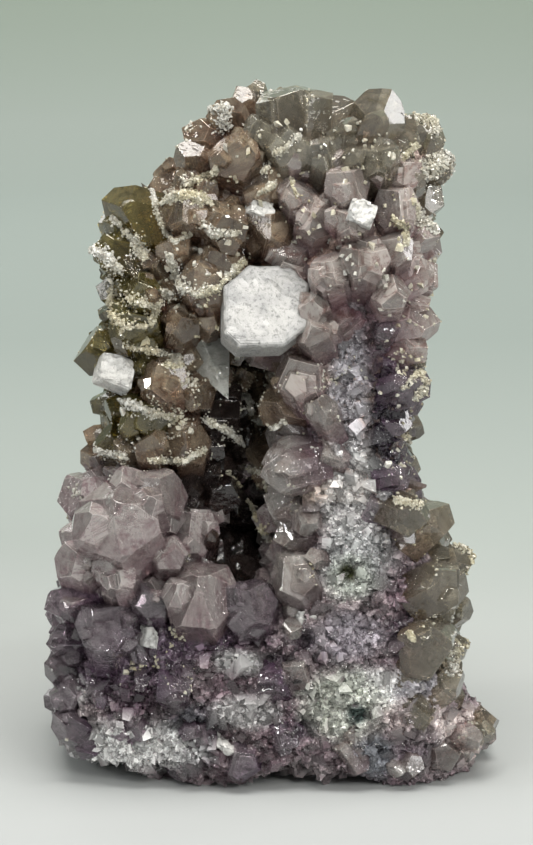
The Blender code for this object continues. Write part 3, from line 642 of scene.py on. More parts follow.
# The calcites: dark, middle and pale speckle, and soft grey clouds over them
CALCITE_CLOUDS = ((0.36, (0.66, 0.67, 0.69)), (0.56, (1, 1, 1)))
PLATE_TONES = ((0.08, 0.08, 0.08), (0.21, 0.207, 0.198), (0.36, 0.355, 0.34))
BLOCK_TONES = ((0.2, 0.19, 0.18), (0.4, 0.39, 0.37), (0.6, 0.59, 0.56))
# Faces of one point differ in tone at random, and its bevelled edges keep full tone as a painted highlight
FACE_TONES = (0.45, 1.0)
# Kinds of quartz by zone, the first that fits: left and right limits, lowest place in millimetres, and
# how far these limits waver across and upwards
ZONE_WAVE = 9 * MM
ZONES = (
    ("olive", -99, -21, 58, 6, 0),
    ("clear", -4, 99, 107, 0, 0),
    ("clear", 22, 99, 98, 0, 0),
    ("clear", 26, 99, 60, 6, 0),
    ("clear", 25, 99, 8, 6, 0),
    ("smoky", -99, 2, 54, 6, 0),
    ("lilac", -99, 2, 33, 6, 6),
    ("violet", -99, 2, -99, 6, 0),
)
MAUVE_FROM = 70
# The dark violet side of the column in the front view: centre pixel and half sizes in pixels
VIOLET_SIDE = (((388, 430), 26, 105),)
# The mouth of the hollow in the front view, where the points take the near-black shade look as painted
# shade: centre pixel and half sizes in pixels
MOUTH = (
    ((205, 482), 48, 28),
    ((238, 545), 28, 62),
    ((222, 432), 34, 30),
)
MOUTH_DEPTH = 15 * MM

# The stage in metres, and its colours from the near floor to the backdrop, graded as painted light and
# shade: lighter near the object and darker towards the top of the backdrop
STAGE_NEAR = -1.6
STAGE_HALF = 1.6
SWEEP_FROM = 0.75
SWEEP_RADIUS = 0.35
SWEEP_STEPS = 16
WALL_TOP = 0.9
STAGE_TONES_SPAN = (-0.05, 0.97)
STAGE_COLOURS_AND_SHADING = (
    (0.0, (0.35, 0.362, 0.36)),
    (0.1, (0.36, 0.375, 0.365)),
    (0.2, (0.315, 0.345, 0.325)),
    (0.45, (0.285, 0.325, 0.302)),
    (0.78, (0.335, 0.38, 0.352)),
    (0.9, (0.315, 0.353, 0.322)),
    (1.0, (0.25, 0.293, 0.245)),
)
# The room's light, and the lamps: place, aim and size in metres, power in watts, colour
ROOM_COLOUR = (0.84, 0.87, 0.82, 1)
ROOM_STRENGTH = 0.32
WARM_WHITE = (1, 0.98, 0.94)
LAMPS = {
    "overhead_softbox": ((0, -0.18, 0.8), (0, 0, 0.05), (0.55, 0.42), 8.2, WARM_WHITE),
    "front_fill": ((0.32, -0.8, 0.6), (0, 0, 0.06), (0.3, 0.24), 3.6, WARM_WHITE),
    "backdrop_lamp": ((0, 0.55, 0.75), (0, 1.1, 0.42), (0.9, 0.25), 4.0),
    "rear_fill": ((-0.3, 0.7, 0.5), (0, 0, 0.05), (0.4, 0.3), 0.8),
}
LAMP_AIM = (0, 0, 0.06)
# Small lamps that make the facets glint, and tall soft ones at the sides that put a sheen on them
GLINT_PLACES = (
    (-0.5, -0.68, 0.5),
    (0.03, -0.8, 0.7),
    (0.6, -0.5, 0.28),
    (-0.7, -0.2, 0.45),
    (0.3, -0.3, 0.8),
)
GLINT_SIZE = (0.07, 0.07)
GLINT_POWER = 1.0
STRIP_PLACES = ((-0.62, -0.42, 0.22), (0.62, -0.5, 0.18), (0.66, 0.28, 0.35))
STRIP_SIZE = (0.1, 0.42)
STRIP_POWER = 0.7
SENSOR = 36


def in_view(pixel, y):
    """The place at depth y that the front view shows at a pixel."""
    right = Vector((1, 0, 0)) * (pixel[0] - FRAME_MIDDLE[0])
    up = SIGHT_UP * (FRAME_MIDDLE[1] - pixel[1])
    ray = SIGHT + (right + up) * (PIXEL / VIEW_DISTANCE)
    return EYE + ray * ((y - EYE.y) / ray.y)


def pixel_of(point):
    """The pixel of the front view that shows a place."""
    ray = point - EYE
    scale = VIEW_DISTANCE / PIXEL / ray.dot(SIGHT)
    return FRAME_MIDDLE[0] + ray.x * scale, FRAME_MIDDLE[1] - ray.dot(SIGHT_UP) * scale


def inside_outline(pixel):
    """True where a pixel lies inside the outline."""
    u, v = pixel
    inside = False
    for (u0, v0), (u1, v1) in zip(OUTLINE, OUTLINE[1:] + OUTLINE[:1]):
        if (v0 > v) != (v1 > v) and u < u0 + (v - v0) / (v1 - v0) * (u1 - u0):
            inside = not inside
    return inside


def seen(surface, pixel):
    """The place and the normal of the surface that the front view shows at a pixel."""
    return surface.ray_cast(EYE, (in_view(pixel, 0) - EYE).normalized())[:2]


def seen_depth(surface, pixel):
    """The depth of the surface that the front view shows at a pixel, or zero where it shows none."""
    hit = seen(surface, pixel)[0]
    return hit.y if hit else 0.0


def random_vector(rng):
    return Vector([rng.uniform(-1, 1) for _ in range(3)])


def link(name, data):
    obj = bpy.data.objects.new(name, data)
    bpy.context.scene.collection.objects.link(obj)
    return obj


def add_object(name, bm):
    mesh = bpy.data.meshes.new(name)
    bm.to_mesh(mesh)
    bm.free()
    return link(name, mesh)


def corners_and_faces(bm):
    """The corners and faces of a shape as lists; the shape itself is freed."""
    bm.verts.index_update()
    points = [vert.co[:] for vert in bm.verts]
    faces = [[vert.index for vert in face.verts] for face in bm.faces]
    bm.free()
    return points, faces


def write_colours(mesh, name, domain, colours):
    """Writes a colour attribute."""
    values = np.ones((len(colours), 4), np.float32)
    values[:, :3] = colours
    mesh.color_attributes.new(name, "FLOAT_COLOR", domain).data.foreach_set("color", values.ravel())


def modify(obj, *steps):
    """Applies modifiers, each given by its kind and its settings."""
    for kind, settings in steps:
        modifier = obj.modifiers.new(kind, kind)
        for name, value in settings.items():
            setattr(modifier, name, value)
    graph = bpy.context.evaluated_depsgraph_get()
    obj.data = bpy.data.meshes.new_from_object(obj.evaluated_get(graph))
    obj.modifiers.clear()


def bevel(bm, offset, segments):
    return bmesh.ops.bevel(
        bm,
        geom=bm.edges,
        offset=offset,
        segments=segments,
        affect="EDGES",
        clamp_overlap=True,
        offset_type="OFFSET",
    )


class Pile:
    """Many small closed shapes gathered into one mesh; crystals also have face tones and heights."""

    def __init__(self):
        self.points = []
        self.faces = []
        self.tone_and_height = []
        self.count = 0

    def add(self, points, faces, tone_and_height=()):
        self.points.append(np.asarray(points))
        self.faces.extend([tuple(i + self.count for i in face) for face in faces])
        self.tone_and_height.extend(tone_and_height)
        self.count += len(points)

    def make(self, name):
        mesh = bpy.data.meshes.new(name)
        mesh.from_pydata(np.concatenate(self.points).tolist(), [], self.faces)
        if self.tone_and_height:
            write_colours(mesh, "tone_and_height", "CORNER", self.tone_and_height)
        mesh.update()
        return link(name, mesh)


def polyhedron(planes, slack=CORNER_SLACK):
    """The closed convex solid inside some planes, each an outward normal and its distance."""
    bm = bmesh.new()
    for trio in itertools.combinations(planes, 3):
        normals = Matrix([normal for normal, _ in trio])
        if abs(normals.determinant()) < LEAST_CORNER:
            continue
        corner = normals.inverted() @ Vector([distance for _, distance in trio])
        if all(normal.dot(corner) <= distance + slack for normal, distance in planes):
            bm.verts.new(corner)
    bmesh.ops.remove_doubles(bm, verts=bm.verts, dist=CORNER_MERGE)
    made = bmesh.ops.convex_hull(bm, input=bm.verts)
    spare = made["geom_interior"] + made["geom_unused"]
    spare = {item for item in spare if isinstance(item, bmesh.types.BMVert)}
    bmesh.ops.delete(bm, geom=list(spare), context="VERTS")
    bmesh.ops.dissolve_limit(bm, angle_limit=math.radians(1), verts=bm.verts, edges=bm.edges)
    bmesh.ops.recalc_face_normals(bm, faces=bm.faces)
    return bm


def quartz_planes(length, width, rng, slope_base):
    """A quartz crystal up +Z: six prism faces, three broad end faces and three small ones."""
    planes = [(Vector((0, 0, -1)), 0.0)]
    turn = rng.uniform(0, math.tau)
    lean = Vector((rng.uniform(-1, 1), rng.uniform(-1, 1), 0)) * APEX_SHIFT * width
    for side in range(6):
        angle = turn + side * math.tau / 6
        out = Vector((math.cos(angle), math.sin(angle), 0))
        half = width / 2 * PRISM_SHARE * (1 + rng.uniform(-PRISM_UNEVEN, PRISM_UNEVEN))
        planes.append((out, half))
        slope = slope_base * (1 + rng.uniform(-SLOPE_UNEVEN, SLOPE_UNEVEN))
        face = Vector((out.x * slope, out.y * slope, 1)).normalized()
        broad = side % 2 == 0
        back = -rng.uniform(0, END_UNEVEN) if broad else SMALL_END_BACK - rng.uniform(0, END_UNEVEN)
        apex = Vector((lean.x, lean.y, length + back * width))
        if broad or width > SIX_ENDS_FROM:
            planes.append((face, face.dot(apex)))
    return planes


def outline_prism():
    """The space that the front view sees inside the outline, shrunk above the bare foot."""
    bm = bmesh.new()
    ends = []
    for y in (TRIM_NEAR, TRIM_FAR):
        ring = []
        for u, v in OUTLINE:
            bare = v > BARE_BELOW
            across = MASS_MIDDLE[0] + (u - MASS_MIDDLE[0]) * (1 if bare else SHARE_ACROSS)
            down = MASS_MIDDLE[1] + (v - MASS_MIDDLE[1]) * (1 if bare else SHARE_UP)
            ring.append(bm.verts.new(in_view((across, down), y)))
        ends.append(ring)
    near, far = ends
    bm.faces.new(near)
    bm.faces.new(reversed(far))
    for i in range(len(near)):
        j = (i + 1) % len(near)
        bm.faces.new((near[j], near[i], far[i], far[j]))
    bmesh.ops.recalc_face_normals(bm, faces=bm.faces)
    return add_object("outline_prism", bm)


def make_mass():
    """The lumps made one closed body inside the outline, with a rough surface."""
    bm = bmesh.new()
    for centre, half, turn, squareness in LUMPS.values():
        place_lump = (
            Matrix.Translation(Vector(centre) * MM)
            @ Matrix.Rotation(math.radians(turn), 4, "Y")
            @ Matrix.Diagonal((*(Vector(half) * MM), 1))
        )
        made = bmesh.ops.create_icosphere(bm, subdivisions=4, radius=1, matrix=Matrix())
        for vert in made["verts"]:
            reach = sum(abs(c) ** squareness for c in vert.co) ** (-1 / squareness)
            vert.co = place_lump @ (vert.co * reach)
    mass = add_object("amethyst_cluster", bm)
    modify(mass, *SOFT_JOIN)
    prism = outline_prism()
    modify(mass, ("BOOLEAN", {"operation": "INTERSECT", "solver": "EXACT", "object": prism}))
    bpy.data.objects.remove(prism)
    modify(mass, *SOFT_JOIN)
    for vert in mass.data.vertices:
        rough = noise.noise(vert.co / COARSE_WAVE) + FINE_SHARE * noise.noise(vert.co / FINE_WAVE)
        vert.co += vert.normal * rough * ROUGHNESS
    return mass


def front_crystals(surface, table):
    """(root, tip, width) of each crystal of a table that the front view shows."""
    made = []
    for root_pixel, tip_pixel, reach, width in table:
        spot = in_view(root_pixel, seen_depth(surface, root_pixel))
        tip = in_view(tip_pixel, spot.y - reach * MM)
        made.append((spot - (tip - spot).normalized() * ROOT_DEPTH, tip, width * MM))
    return made


def fits_outline(root, tip, width):
    """True for a crystal whose tip and shoulders the front view shows inside the outline."""
    axis = (tip - root).normalized()
    shoulder = tip - axis * width * 0.5
    side = axis.cross(SIGHT).normalized() * width * 0.5
    return all(inside_outline(pixel_of(place)) for place in (tip, shoulder + side, shoulder - side))


def in_ellipses(point, ellipses):
    """True for a place that the front view shows in one of some ellipses."""
    u, v = pixel_of(point)
    for middle, half_u, half_v in ellipses:
        if ((u - middle[0]) / half_u) ** 2 + ((v - middle[1]) / half_v) ** 2 < 1:
            return True
    return False


def on_broken_face(point, normal):
    """True on the front where the quartz is broken and carries no points."""
    return normal.y <= FRONTAL and in_ellipses(point, BROKEN)


def on_bare_back(point, normal):
    """True in the patches of bare quartz on the back."""
    return normal.y > BACKWARD and noise.noise(point / BARE_SIZE + BARE_SHIFT) > BARE_LEVEL


def on_bare_quartz(point, normal):
    return on_broken_face(point, normal) or on_bare_back(point, normal)


def carries_chips(point, normal):
    """True where the quartz is broken: on the front, round the foot and in the bare patches on the back."""
    round_foot = point.z < CHIP_FOOT and normal.z > CHIP_DOWNWARD
    return round_foot or on_bare_quartz(point, normal)


def carries_sugar(point, normal):
    """True on the pale, fine-grained patches of the broken front."""
    frayed = point + noise.noise_vector(point / SUGAR_WAVE) * SUGAR_FRAY
    return normal.y < FRONTAL and in_ellipses(frayed, SUGAR_FIELDS)


def carries_lumps(point, normal):
    return carries_chips(point, normal) and not carries_sugar(point, normal)


def triangles_where(mesh, test):
    """The triangles of a mesh whose first corner and normal pass a test."""
    return [t for t in mesh.loop_triangles if test(mesh.vertices[t.vertices[0]].co, t.normal)]


def random_spots(mesh, triangles, count, rng):
    """Evenly spread random places on triangles, each with its normal."""
    areas = list(itertools.accumulate(triangle.area for triangle in triangles))
    for _ in range(count):
        triangle = rng.choices(triangles, cum_weights=areas)[0]
        a, b, c = (mesh.vertices[i].co for i in triangle.vertices)
        s, t = sorted((rng.random(), rng.random()))
        yield a * s + b * (t - s) + c * (1 - t), triangle.normal


def spread_crystals(mesh, taken, bare, seed, tries, widths, spacing, lean, floor, downward, reaches):
    """(root, tip, width) of crystals spread over the quartz where it isn't bare, clear of those taken."""
    rng = random.Random(seed)
    placed = [(root + (tip - root).normalized() * ROOT_DEPTH, width) for root, tip, width in taken]
    made = []
    for spot, normal in random_spots(mesh, mesh.loop_triangles, tries, rng):
        width = rng.uniform(*widths) * MM
        axis = (normal + random_vector(rng) * lean + Vector((0, 0, FILL_LIFT))).normalized()
        if bare(spot, normal) or spot.z < floor or normal.z < downward:
            continue
        if any((spot - other).length < spacing * (width + w) / 2 for other, w in placed):
            continue
        root = spot - axis * ROOT_DEPTH
        fitting = [reach for reach in reaches if fits_outline(root, spot + axis * width * reach, width)]
        if fitting:
            placed.append((spot, width))
            made.append((root, spot + axis * width * fitting[0], width))
    return made


def stub_crystals(mesh):
    """(root, tip, width) of low broken crystals on the bare quartz of the front."""
    rng = random.Random(STUB_SEED)
    triangles = triangles_where(mesh, on_broken_face)
    placed = []
    made = []
    for spot, normal in random_spots(mesh, triangles, STUB_TRIES, rng):
        width = rng.uniform(*STUB_WIDTH) * MM
        axis = (normal + random_vector(rng) * STUB_LEAN).normalized()
        rise = rng.uniform(*STUB_RISE) * MM
        if in_ellipses(spot, SUGAR_FIELDS):
            continue
        if any((spot - other).length < STUB_SPACING * (width + w) / 2 for other, w in placed):
            continue
        placed.append((spot, width))
        made.append((spot - axis * ROOT_DEPTH, spot + axis * rise, width))
    return made


def side_crystals(parents):
    """(root, tip, width) of sub-points that grew nearly in line with large points, out of their sides."""
    rng = random.Random(SIDE_SEED)
    made = []
    for root, tip, width in parents:
        axis = (tip - root).normalized()
        across = axis.orthogonal().normalized()
        for _ in range(rng.randint(*SIDE_COUNT)):
            out = Matrix.Rotation(rng.uniform(0, math.tau), 3, axis) @ across
            size = width * rng.uniform(*SIDE_SHARE)
            end = tip - axis * width * rng.uniform(*SIDE_BACK) + out * width * rng.uniform(*SIDE_OUT)
            lean = (axis + out * rng.uniform(*SIDE_LEAN)).normalized()
            grown = (end - lean * (tip - root).length * SIDE_LENGTH, end, size)
            if fits_outline(*grown) and grown[0].z > SIDE_FLOOR:
                made.append(grown)
    return made


def plate_solid():
    """The planes and the middle of the calcite plate: two broad faces and bevelled sides."""
    upright = math.cos(PLATE_LEAN)
    out = Vector((math.sin(PLATE_TURN) * upright, -math.cos(PLATE_TURN) * upright, math.sin(PLATE_LEAN)))
    anchor = in_view(PLATE_CENTRE, PLATE_Y)
    corners = []
    for pixel in PLATE_CORNERS:
        sight = (in_view(pixel, 0) - EYE).normalized()
        corners.append(EYE + sight * ((anchor - EYE).dot(out) / sight.dot(out)))
    planes = [(out, out.dot(anchor)), (-out, PLATE_THICK - out.dot(anchor))]
    for a, b in zip(corners, corners[1:] + corners[:1]):
        side = (b - a).cross(out).normalized()
        if side.dot(a - anchor) < 0:
            side.negate()
        sloped = (side + out).normalized()
        planes.append((side, side.dot(a)))
        planes.append((sloped, sloped.dot(a) - PLATE_BEVEL))
    return planes, anchor - out * PLATE_THICK / 2


def block_solid(surface, pixel, reach, half, lean, skew, trims):
    """The planes and the middle of a leaning calcite block with skewed sides and trimmed corners."""
    middle = in_view(pixel, seen_depth(surface, pixel) - reach * MM)
    turn = Matrix.Identity(3)
    for axis, angle in (("Z", lean[2]), ("X", lean[0]), ("Y", lean[1])):
        turn = turn @ Matrix.Rotation(angle, 3, axis)
    own = []
    for axis in range(3):
        for sign in (-1, 1):
            normal = Vector((0, 0, 0))
            normal[axis] = sign
            normal[(axis + 1) % 3] = sign * skew
            own.append((normal.normalized(), half[axis] * MM))
    for trim, share in trims:
        normal = Vector(trim).normalized()
        own.append((normal, share * sum(abs(n) * h for n, h in zip(normal, half)) * MM))
    planes = [(turn @ normal, distance + (turn @ normal).dot(middle)) for normal, distance in own]
    return planes, middle


def spike_solid(surface):
    """The planes and the middle of the clear calcite: four steep faces, one edge towards the viewer."""
    depth = seen_depth(surface, SPIKE_SURFACE)
    root = in_view(SPIKE_ROOT, depth + SPIKE_ROOT_DEPTH)
    tip = in_view(SPIKE_TIP, depth - SPIKE_REACH)
    length = (tip - root).length
    axis = (tip - root) / length
    across = axis.cross(SIGHT).normalized()
    outward = across.cross(axis).normalized()
    planes = [(-axis, -axis.dot(root))]
    for left, near in itertools.product((-1, 1), repeat=2):
        side = across * (left / SPIKE_HALF_ACROSS) + outward * (near / SPIKE_HALF_OUT)
        face = (side * length + axis).normalized()
        planes.append((face, face.dot(tip)))
    return planes, root + axis * length * 0.4


def facet_height(place):
    """How far the broken surface stands out: a plane tilted at random in each cell, in three sizes."""
    height = 0
    for size, tilt in FACET_CELLS:
        spot = noise.voronoi(place / size)[1][0]
        way = noise.noise_vector(spot * TILT_SCATTER).normalized()
        height += way.dot(place / size - spot) * size * tilt
    return height


def split_broken_faces(mesh):
    """Cuts the faces of the broken front into four, for finer facets there."""
    bm = bmesh.new()
    bm.from_mesh(mesh)
    broken = [face for face in bm.faces if on_broken_face(face.calc_center_median(), face.normal)]
    edges = {edge for face in broken for edge in face.edges}
    bmesh.ops.subdivide_edges(bm, edges=list(edges), cuts=1, use_grid_fill=True)
    bm.to_mesh(mesh)
    bm.free()
    mesh.update()


def pit_depth(place, normal):
    """How deep the pits go at a place of the front."""
    if normal.y > FRONTAL:
        return 0
    u, v = pixel_of(place)
    shares = [(math.hypot(u - mid[0], v - mid[1]) / radius, depth) for mid, radius, depth in PITS]
    return max((depth * (1 - share ** 2) for share, depth in shares if share < 1), default=0)


def fine_mass(coarse):
    """The massive quartz at a fine grain, broken into small facets."""
    fine = link("massive_quartz", coarse.data.copy())
    modify(fine, ("REMESH", {"mode": "VOXEL", "voxel_size": FINE_VOXEL}))
    split_broken_faces(fine.data)
    normals = [vert.normal.copy() for vert in fine.data.vertices]
    for vert, normal in zip(fine.data.vertices, normals):
        vert.co += normal * (facet_height(vert.co) - pit_depth(vert.co, normal))
        if vert.co.x > TOE_FROM:
            vert.co.x = TOE_FROM + (vert.co.x - TOE_FROM) * TOE_SHARE
    return fine


def nick(bm, rng, width):
    """Breaks small pieces off the corners and edges of a crystal that points up +Z."""
    for _ in range(rng.randint(*NICKS)):
        way = random_vector(rng)
        way.z = abs(way.z)
        way.normalize()
        reach = max(vert.co.dot(way) for vert in bm.verts) - width * rng.uniform(*NICK_DEPTH)
        geometry = bm.verts[:] + bm.edges[:] + bm.faces[:]
        cut = bmesh.ops.bisect_plane(
            bm, geom=geometry, plane_co=way * reach, plane_no=way, clear_outer=True
        )
        edges = [item for item in cut["geom_cut"] if isinstance(item, bmesh.types.BMEdge)]
        bmesh.ops.contextual_create(bm, geom=edges)
    bmesh.ops.recalc_face_normals(bm, faces=bm.faces)


def parallel_planes(planes, length, share, shift):
    """The planes of a smaller crystal grown in line with another."""
    middle = Vector((0, 0, length)) * (1 - share) + shift
    smaller = [(normal, share * distance + normal.dot(middle)) for normal, distance in planes[1:]]
    return planes[:1] + smaller


def add_point(pile, rims, root, tip, width, planes, wear):
    """Adds a crystal of some planes with chipped corners and a painted highlight on its edges, and keeps
    its edges for the frost.
    """
    bm = polyhedron(planes)
    nick(bm, wear, width)
    turn = Vector((0, 0, 1)).rotation_difference(tip - root).to_matrix().to_4x4()
    bmesh.ops.transform(bm, matrix=Matrix.Translation(root) @ turn, verts=bm.verts)
    for edge in bm.edges:
        outward = sum((face.normal for face in edge.link_faces), Vector()).normalized()
        if outward.dot(tip - root) > RIM_FACING * (tip - root).length:
            rims.append((edge.verts[0].co.copy(), edge.verts[1].co.copy(), outward))
    edges = set(bevel(bm, EDGE_BEVEL, 1)["faces"])
    way = (tip - root) / (tip - root).length_squared
    tone_and_height = []
    for face in bm.faces:
        # Bevel faces keep full tone while the other faces are darkened at random: a painted highlight on
        # the edges
        tone = 1 if face in edges else wear.uniform(*FACE_TONES)
        tone_and_height.extend((tone, (vert.co - root).dot(way), 0) for vert in face.verts)
    pile.add(*corners_and_faces(bm), tone_and_height)


def crystal(pile, rims, root, tip, width, rng, wear, slope):
    """Adds a quartz point from root to tip, a wide one with smaller crystals in line with it."""
    length = (tip - root).length
    planes = quartz_planes(length, width, rng, slope)
    add_point(pile, rims, root, tip, width, planes, wear)
    if width < TWIN_FROM:
        return
    turn = Vector((0, 0, 1)).rotation_difference(tip - root)
    for _ in range(wear.randint(*TWIN_COUNT)):
        share = wear.uniform(*TWIN_SHARE)
        angle = wear.uniform(0, math.tau)
        shift = Vector((math.cos(angle), math.sin(angle), 0)) * width * (TWIN_EDGE - 0.5 * share)
        shift.z = -width * wear.uniform(*TWIN_DROP)
        aside = turn @ shift
        if fits_outline(root + aside, tip + aside, width * share):
            add_point(pile, rims, root, tip, width, parallel_planes(planes, length, share, shift), wear)


def look_at(spot):
    """The kind of quartz at a place; in the mouth of the hollow it is the shade look, painted shade."""
    # In the mouth of the hollow the points are painted dark as shade
    if in_ellipses(spot, MOUTH) and spot.y < MOUTH_DEPTH:
        return "shade"
    x, z = spot.x / MM, spot.z / MM
    waver = noise.noise(spot / ZONE_WAVE)
    for kind, least, most, lowest, waver_x, waver_z in ZONES:
        if least < x + waver_x * waver < most and z + waver_z * waver > lowest:
            return kind
    if in_ellipses(spot, VIOLET_SIDE) and spot.y < 0:
        return "violet"
    return "mauve" if z > MAUVE_FROM else "flank"


def grow_points(coarse):
    """The piles of quartz points by their look, and the edges that frost can sit on."""
    surface = BVHTree.FromObject(coarse, bpy.context.evaluated_depsgraph_get())
    front = front_crystals(surface, FRONT_POINTS)
    blunt = front_crystals(surface, BLUNT_POINTS)
    fill = spread_crystals(coarse.data, front + blunt, on_bare_quartz, **FILL)
    stubs = stub_crystals(coarse.data)
    kept_clear = []
    for pixel, _, half, *_ in BLOCKS.values():
        spot = in_view(pixel, seen_depth(surface, pixel))
        kept_clear.append((spot, spot + SIGHT * MM, Vector(half).length * 2 * MM))
    small = spread_crystals(coarse.data, front + blunt + fill + kept_clear, on_broken_face, **SMALL)
    sides = side_crystals(front + fill)
    piles = {name: Pile() for name in QUARTZ_LOOKS}
    rims = []
    wear = random.Random(WEAR_SEED)
    for group, seed, slope in (
        (front + fill, POINT_SEED, END_SLOPE),
        (stubs, STUB_SHAPE_SEED, END_SLOPE),
        (blunt, POINT_SEED, BLUNT_SLOPE),
        (small + sides, SMALL["seed"], END_SLOPE),
    ):
        rng = random.Random(seed)
        for root, tip, width in group:
            crystal(piles[look_at(root.lerp(tip, 0.6))], rims, root, tip, width, rng, wear, slope)
    return piles, rims


def grain_shapes(seed, least, cuts=(0, 1)):
    """Leaning boxes about one unit wide, with some corners cut off, as points and faces."""
    rng = random.Random(seed)
    shapes = []
    for _ in range(GRAIN_KINDS):
        planes = []
        for _ in range(rng.randint(*cuts)):
            planes.append((random_vector(rng).normalized(), rng.uniform(least, CUT_MOST)))
        for axis in range(3):
            for sign in (-1, 1):
                normal = random_vector(rng) * GRAIN_SKEW
                normal[axis] += sign
                planes.append((normal.normalized(), rng.uniform(least, SIDE_MOST)))
        shapes.append(corners_and_faces(polyhedron(planes, GRAIN_SLACK)))
    return shapes


def add_grain(pile, shapes, spot, size, rng):
    """Adds one grain, turned and stretched at random."""
    points, faces = rng.choice(shapes)
    turn = random_vector(rng).to_track_quat("Z", "Y").to_matrix()
    stretch = np.array([size * rng.uniform(*GRAIN_STRETCH) for _ in range(3)])
    pile.add((np.array(points) * stretch) @ np.array(turn).T + np.array(spot), faces)


def broken_bits(name, mesh, carries, seed, sorts, cuts=(0, 1)):
    """Angular glassy bits of some sizes all over a part of the quartz, half sunk into it."""
    rng = random.Random(seed)
    pile = Pile()
    shapes = grain_shapes(seed, CHIP_LEAST, cuts)
    triangles = triangles_where(mesh, carries)
    for count, least, greatest, sink in sorts:
        for spot, normal in random_spots(mesh, triangles, count, rng):
            size = MM * (least + (greatest - least) * rng.random() ** 1.5)
            if pit_depth(spot, normal) < CHIP_PIT:
                add_grain(pile, shapes, spot - normal * sink * size, size, rng)
    return pile.make(name)


def along(line, rng, width):
    """A random pixel in a frayed band about a line of pixels, and its share of the way out to the edge."""
    spans = list(zip(line, line[1:]))
    (a, b), = rng.choices(spans, weights=[math.dist(*span) for span in spans])
    t = rng.random()
    u = a[0] + (b[0] - a[0]) * t
    v = a[1] + (b[1] - a[1]) * t
    angle = rng.uniform(0, math.tau)
    off = rng.random() ** 0.7
    radius = width / 2 * off * (0.8 + noise.noise(Vector((u, v, 0)) / BAND_WAVE))
    if rng.random() < STRAY_SHARE:
        radius *= STRAY_REACH
    return (u + radius * math.cos(angle), v + radius * math.sin(angle)), off


def front_druse(pile, shapes, surface):
    """Sugary grains in the bands that the front view shows, heaped up in the middle."""
    rng = random.Random(DRUSE_SEED)
    for line, width, density, size in DRUSE_BANDS:
        area = (sum(math.dist(a, b) for a, b in zip(line, line[1:])) + width) * width
        hits = []
        for _ in range(int(area * density * DRUSE_CROWDING)):
            pixel, off = along(line, rng, width)
            spot, normal = seen(surface, pixel)
            if spot and noise.noise(spot / DRUSE_CLOUD) > off * 0.9 - 0.75:
                hits.append((spot, normal, off))
        depths = sorted(spot.y for spot, _, _ in hits)
        middle = depths[len(depths) // 2]
        for spot, normal, off in hits:
            if abs(spot.y - middle) < DRUSE_DEPTH:
                grain = size * DRUSE_FINENESS * MM * rng.uniform(0.5, 1.5) * (1.15 - 0.5 * off)
                heap = rng.uniform(-0.2, 0.9) * (1 - off) * size * MM
                add_grain(pile, shapes, spot + normal * heap, grain, rng)


def specks(pile, shapes, surface):
    """Single white grains sprinkled over the front."""
    rng = random.Random(SPECK_SEED)
    for (left, top, right, bottom), count in SPECK_FIELDS:
        for _ in range(count):
            pixel = rng.uniform(left, right), rng.uniform(top, bottom)
            spot, normal = seen(surface, pixel)
            if spot and inside_outline(pixel):
                size = (SPECK_SIZE[0] + (SPECK_SIZE[1] - SPECK_SIZE[0]) * rng.random() ** 1.8) * MM
                add_grain(pile, shapes, spot + normal * 0.15 * size, size, rng)


def wild_druse(pile, shapes, surface, mesh):
    """Patches of grains on the sides, the top and the back."""
    rng = random.Random(WILD_SEED)
    for middle, way in random_spots(mesh, mesh.loop_triangles, WILD_PATCHES, rng):
        if way.y < WILD_FRONTAL or middle.z < WILD_FLOOR:
            continue
        radius = rng.uniform(*WILD_RADIUS)
        across = way.orthogonal().normalized()
        for _ in range(int(WILD_DENSITY * radius ** 2)):
            turn = Matrix.Rotation(rng.uniform(0, math.tau), 3, way)
            away = radius * MM * math.sqrt(rng.random()) * rng.uniform(0.4, 1)
            start = middle + way * WILD_ABOVE * MM + (turn @ across) * away
            spot = surface.ray_cast(start, -way, WILD_DROP)[0]
            if spot:
                add_grain(pile, shapes, spot, rng.uniform(*WILD_SIZE) * MM, rng)


def rim_shyness(spot):
    """How much less frost the edges carry at a place than on the tower."""
    for low, high, left, right, shyness in SHY_ZONES:
        if low * MM < spot.z < high * MM and left * MM < spot.x < right * MM:
            return shyness
    return 0


def frosty_rims(pile, shapes, rims):
    """Grains along the edges of points, in patches."""
    rng = random.Random(RIM_SEED)
    for start, end, outward in rims:
        for _ in range(int((end - start).length / RIM_STEP)):
            spot = start.lerp(end, rng.random())
            frost = noise.noise(spot / RIM_PATCH) + 0.4 * noise.noise(spot / (RIM_PATCH / 4))
            if frost > RIM_LEVEL + rim_shyness(spot):
                aside = random_vector(rng) * RIM_SPREAD
                aside -= outward * (aside.dot(outward) + RIM_SINK)
                add_grain(pile, shapes, spot + aside, rng.uniform(*RIM_SIZE) * MM, rng)


def patch_colour(point, front):
    """The massive quartz's colour at a place, from its zones and, on the front, its patches, some of them
    painted shade.
    """
    wobble = noise.noise(point / (5 * MM)) * 0.5 + noise.noise(point / (1.8 * MM)) * 0.5
    broad = noise.noise(point / (13 * MM) + CLOUD_SHIFT)
    for lowest, most, base, pale in MASS_ZONES:
        if point.z > lowest * MM and point.x < most * MM:
            break
    cloud = min(1, max(0, 0.25 + 0.9 * broad + 0.6 * wobble)) * 0.7
    colour = Vector(base).lerp(Vector(pale), cloud)
    if front:
        u, v = pixel_of(point)
        for (mid_u, mid_v), half_u, half_v, shade, strength in STAINS_AND_PAINTED_SHADE:
            away = math.hypot((u - mid_u) / half_u, (v - mid_v) / half_v) + wobble * 0.35
            if away < PATCH_REACH:
                share = strength * min(1, (PATCH_REACH - away) / PATCH_FADE)
                colour = colour.lerp(Vector(shade), share)
    return colour[:]


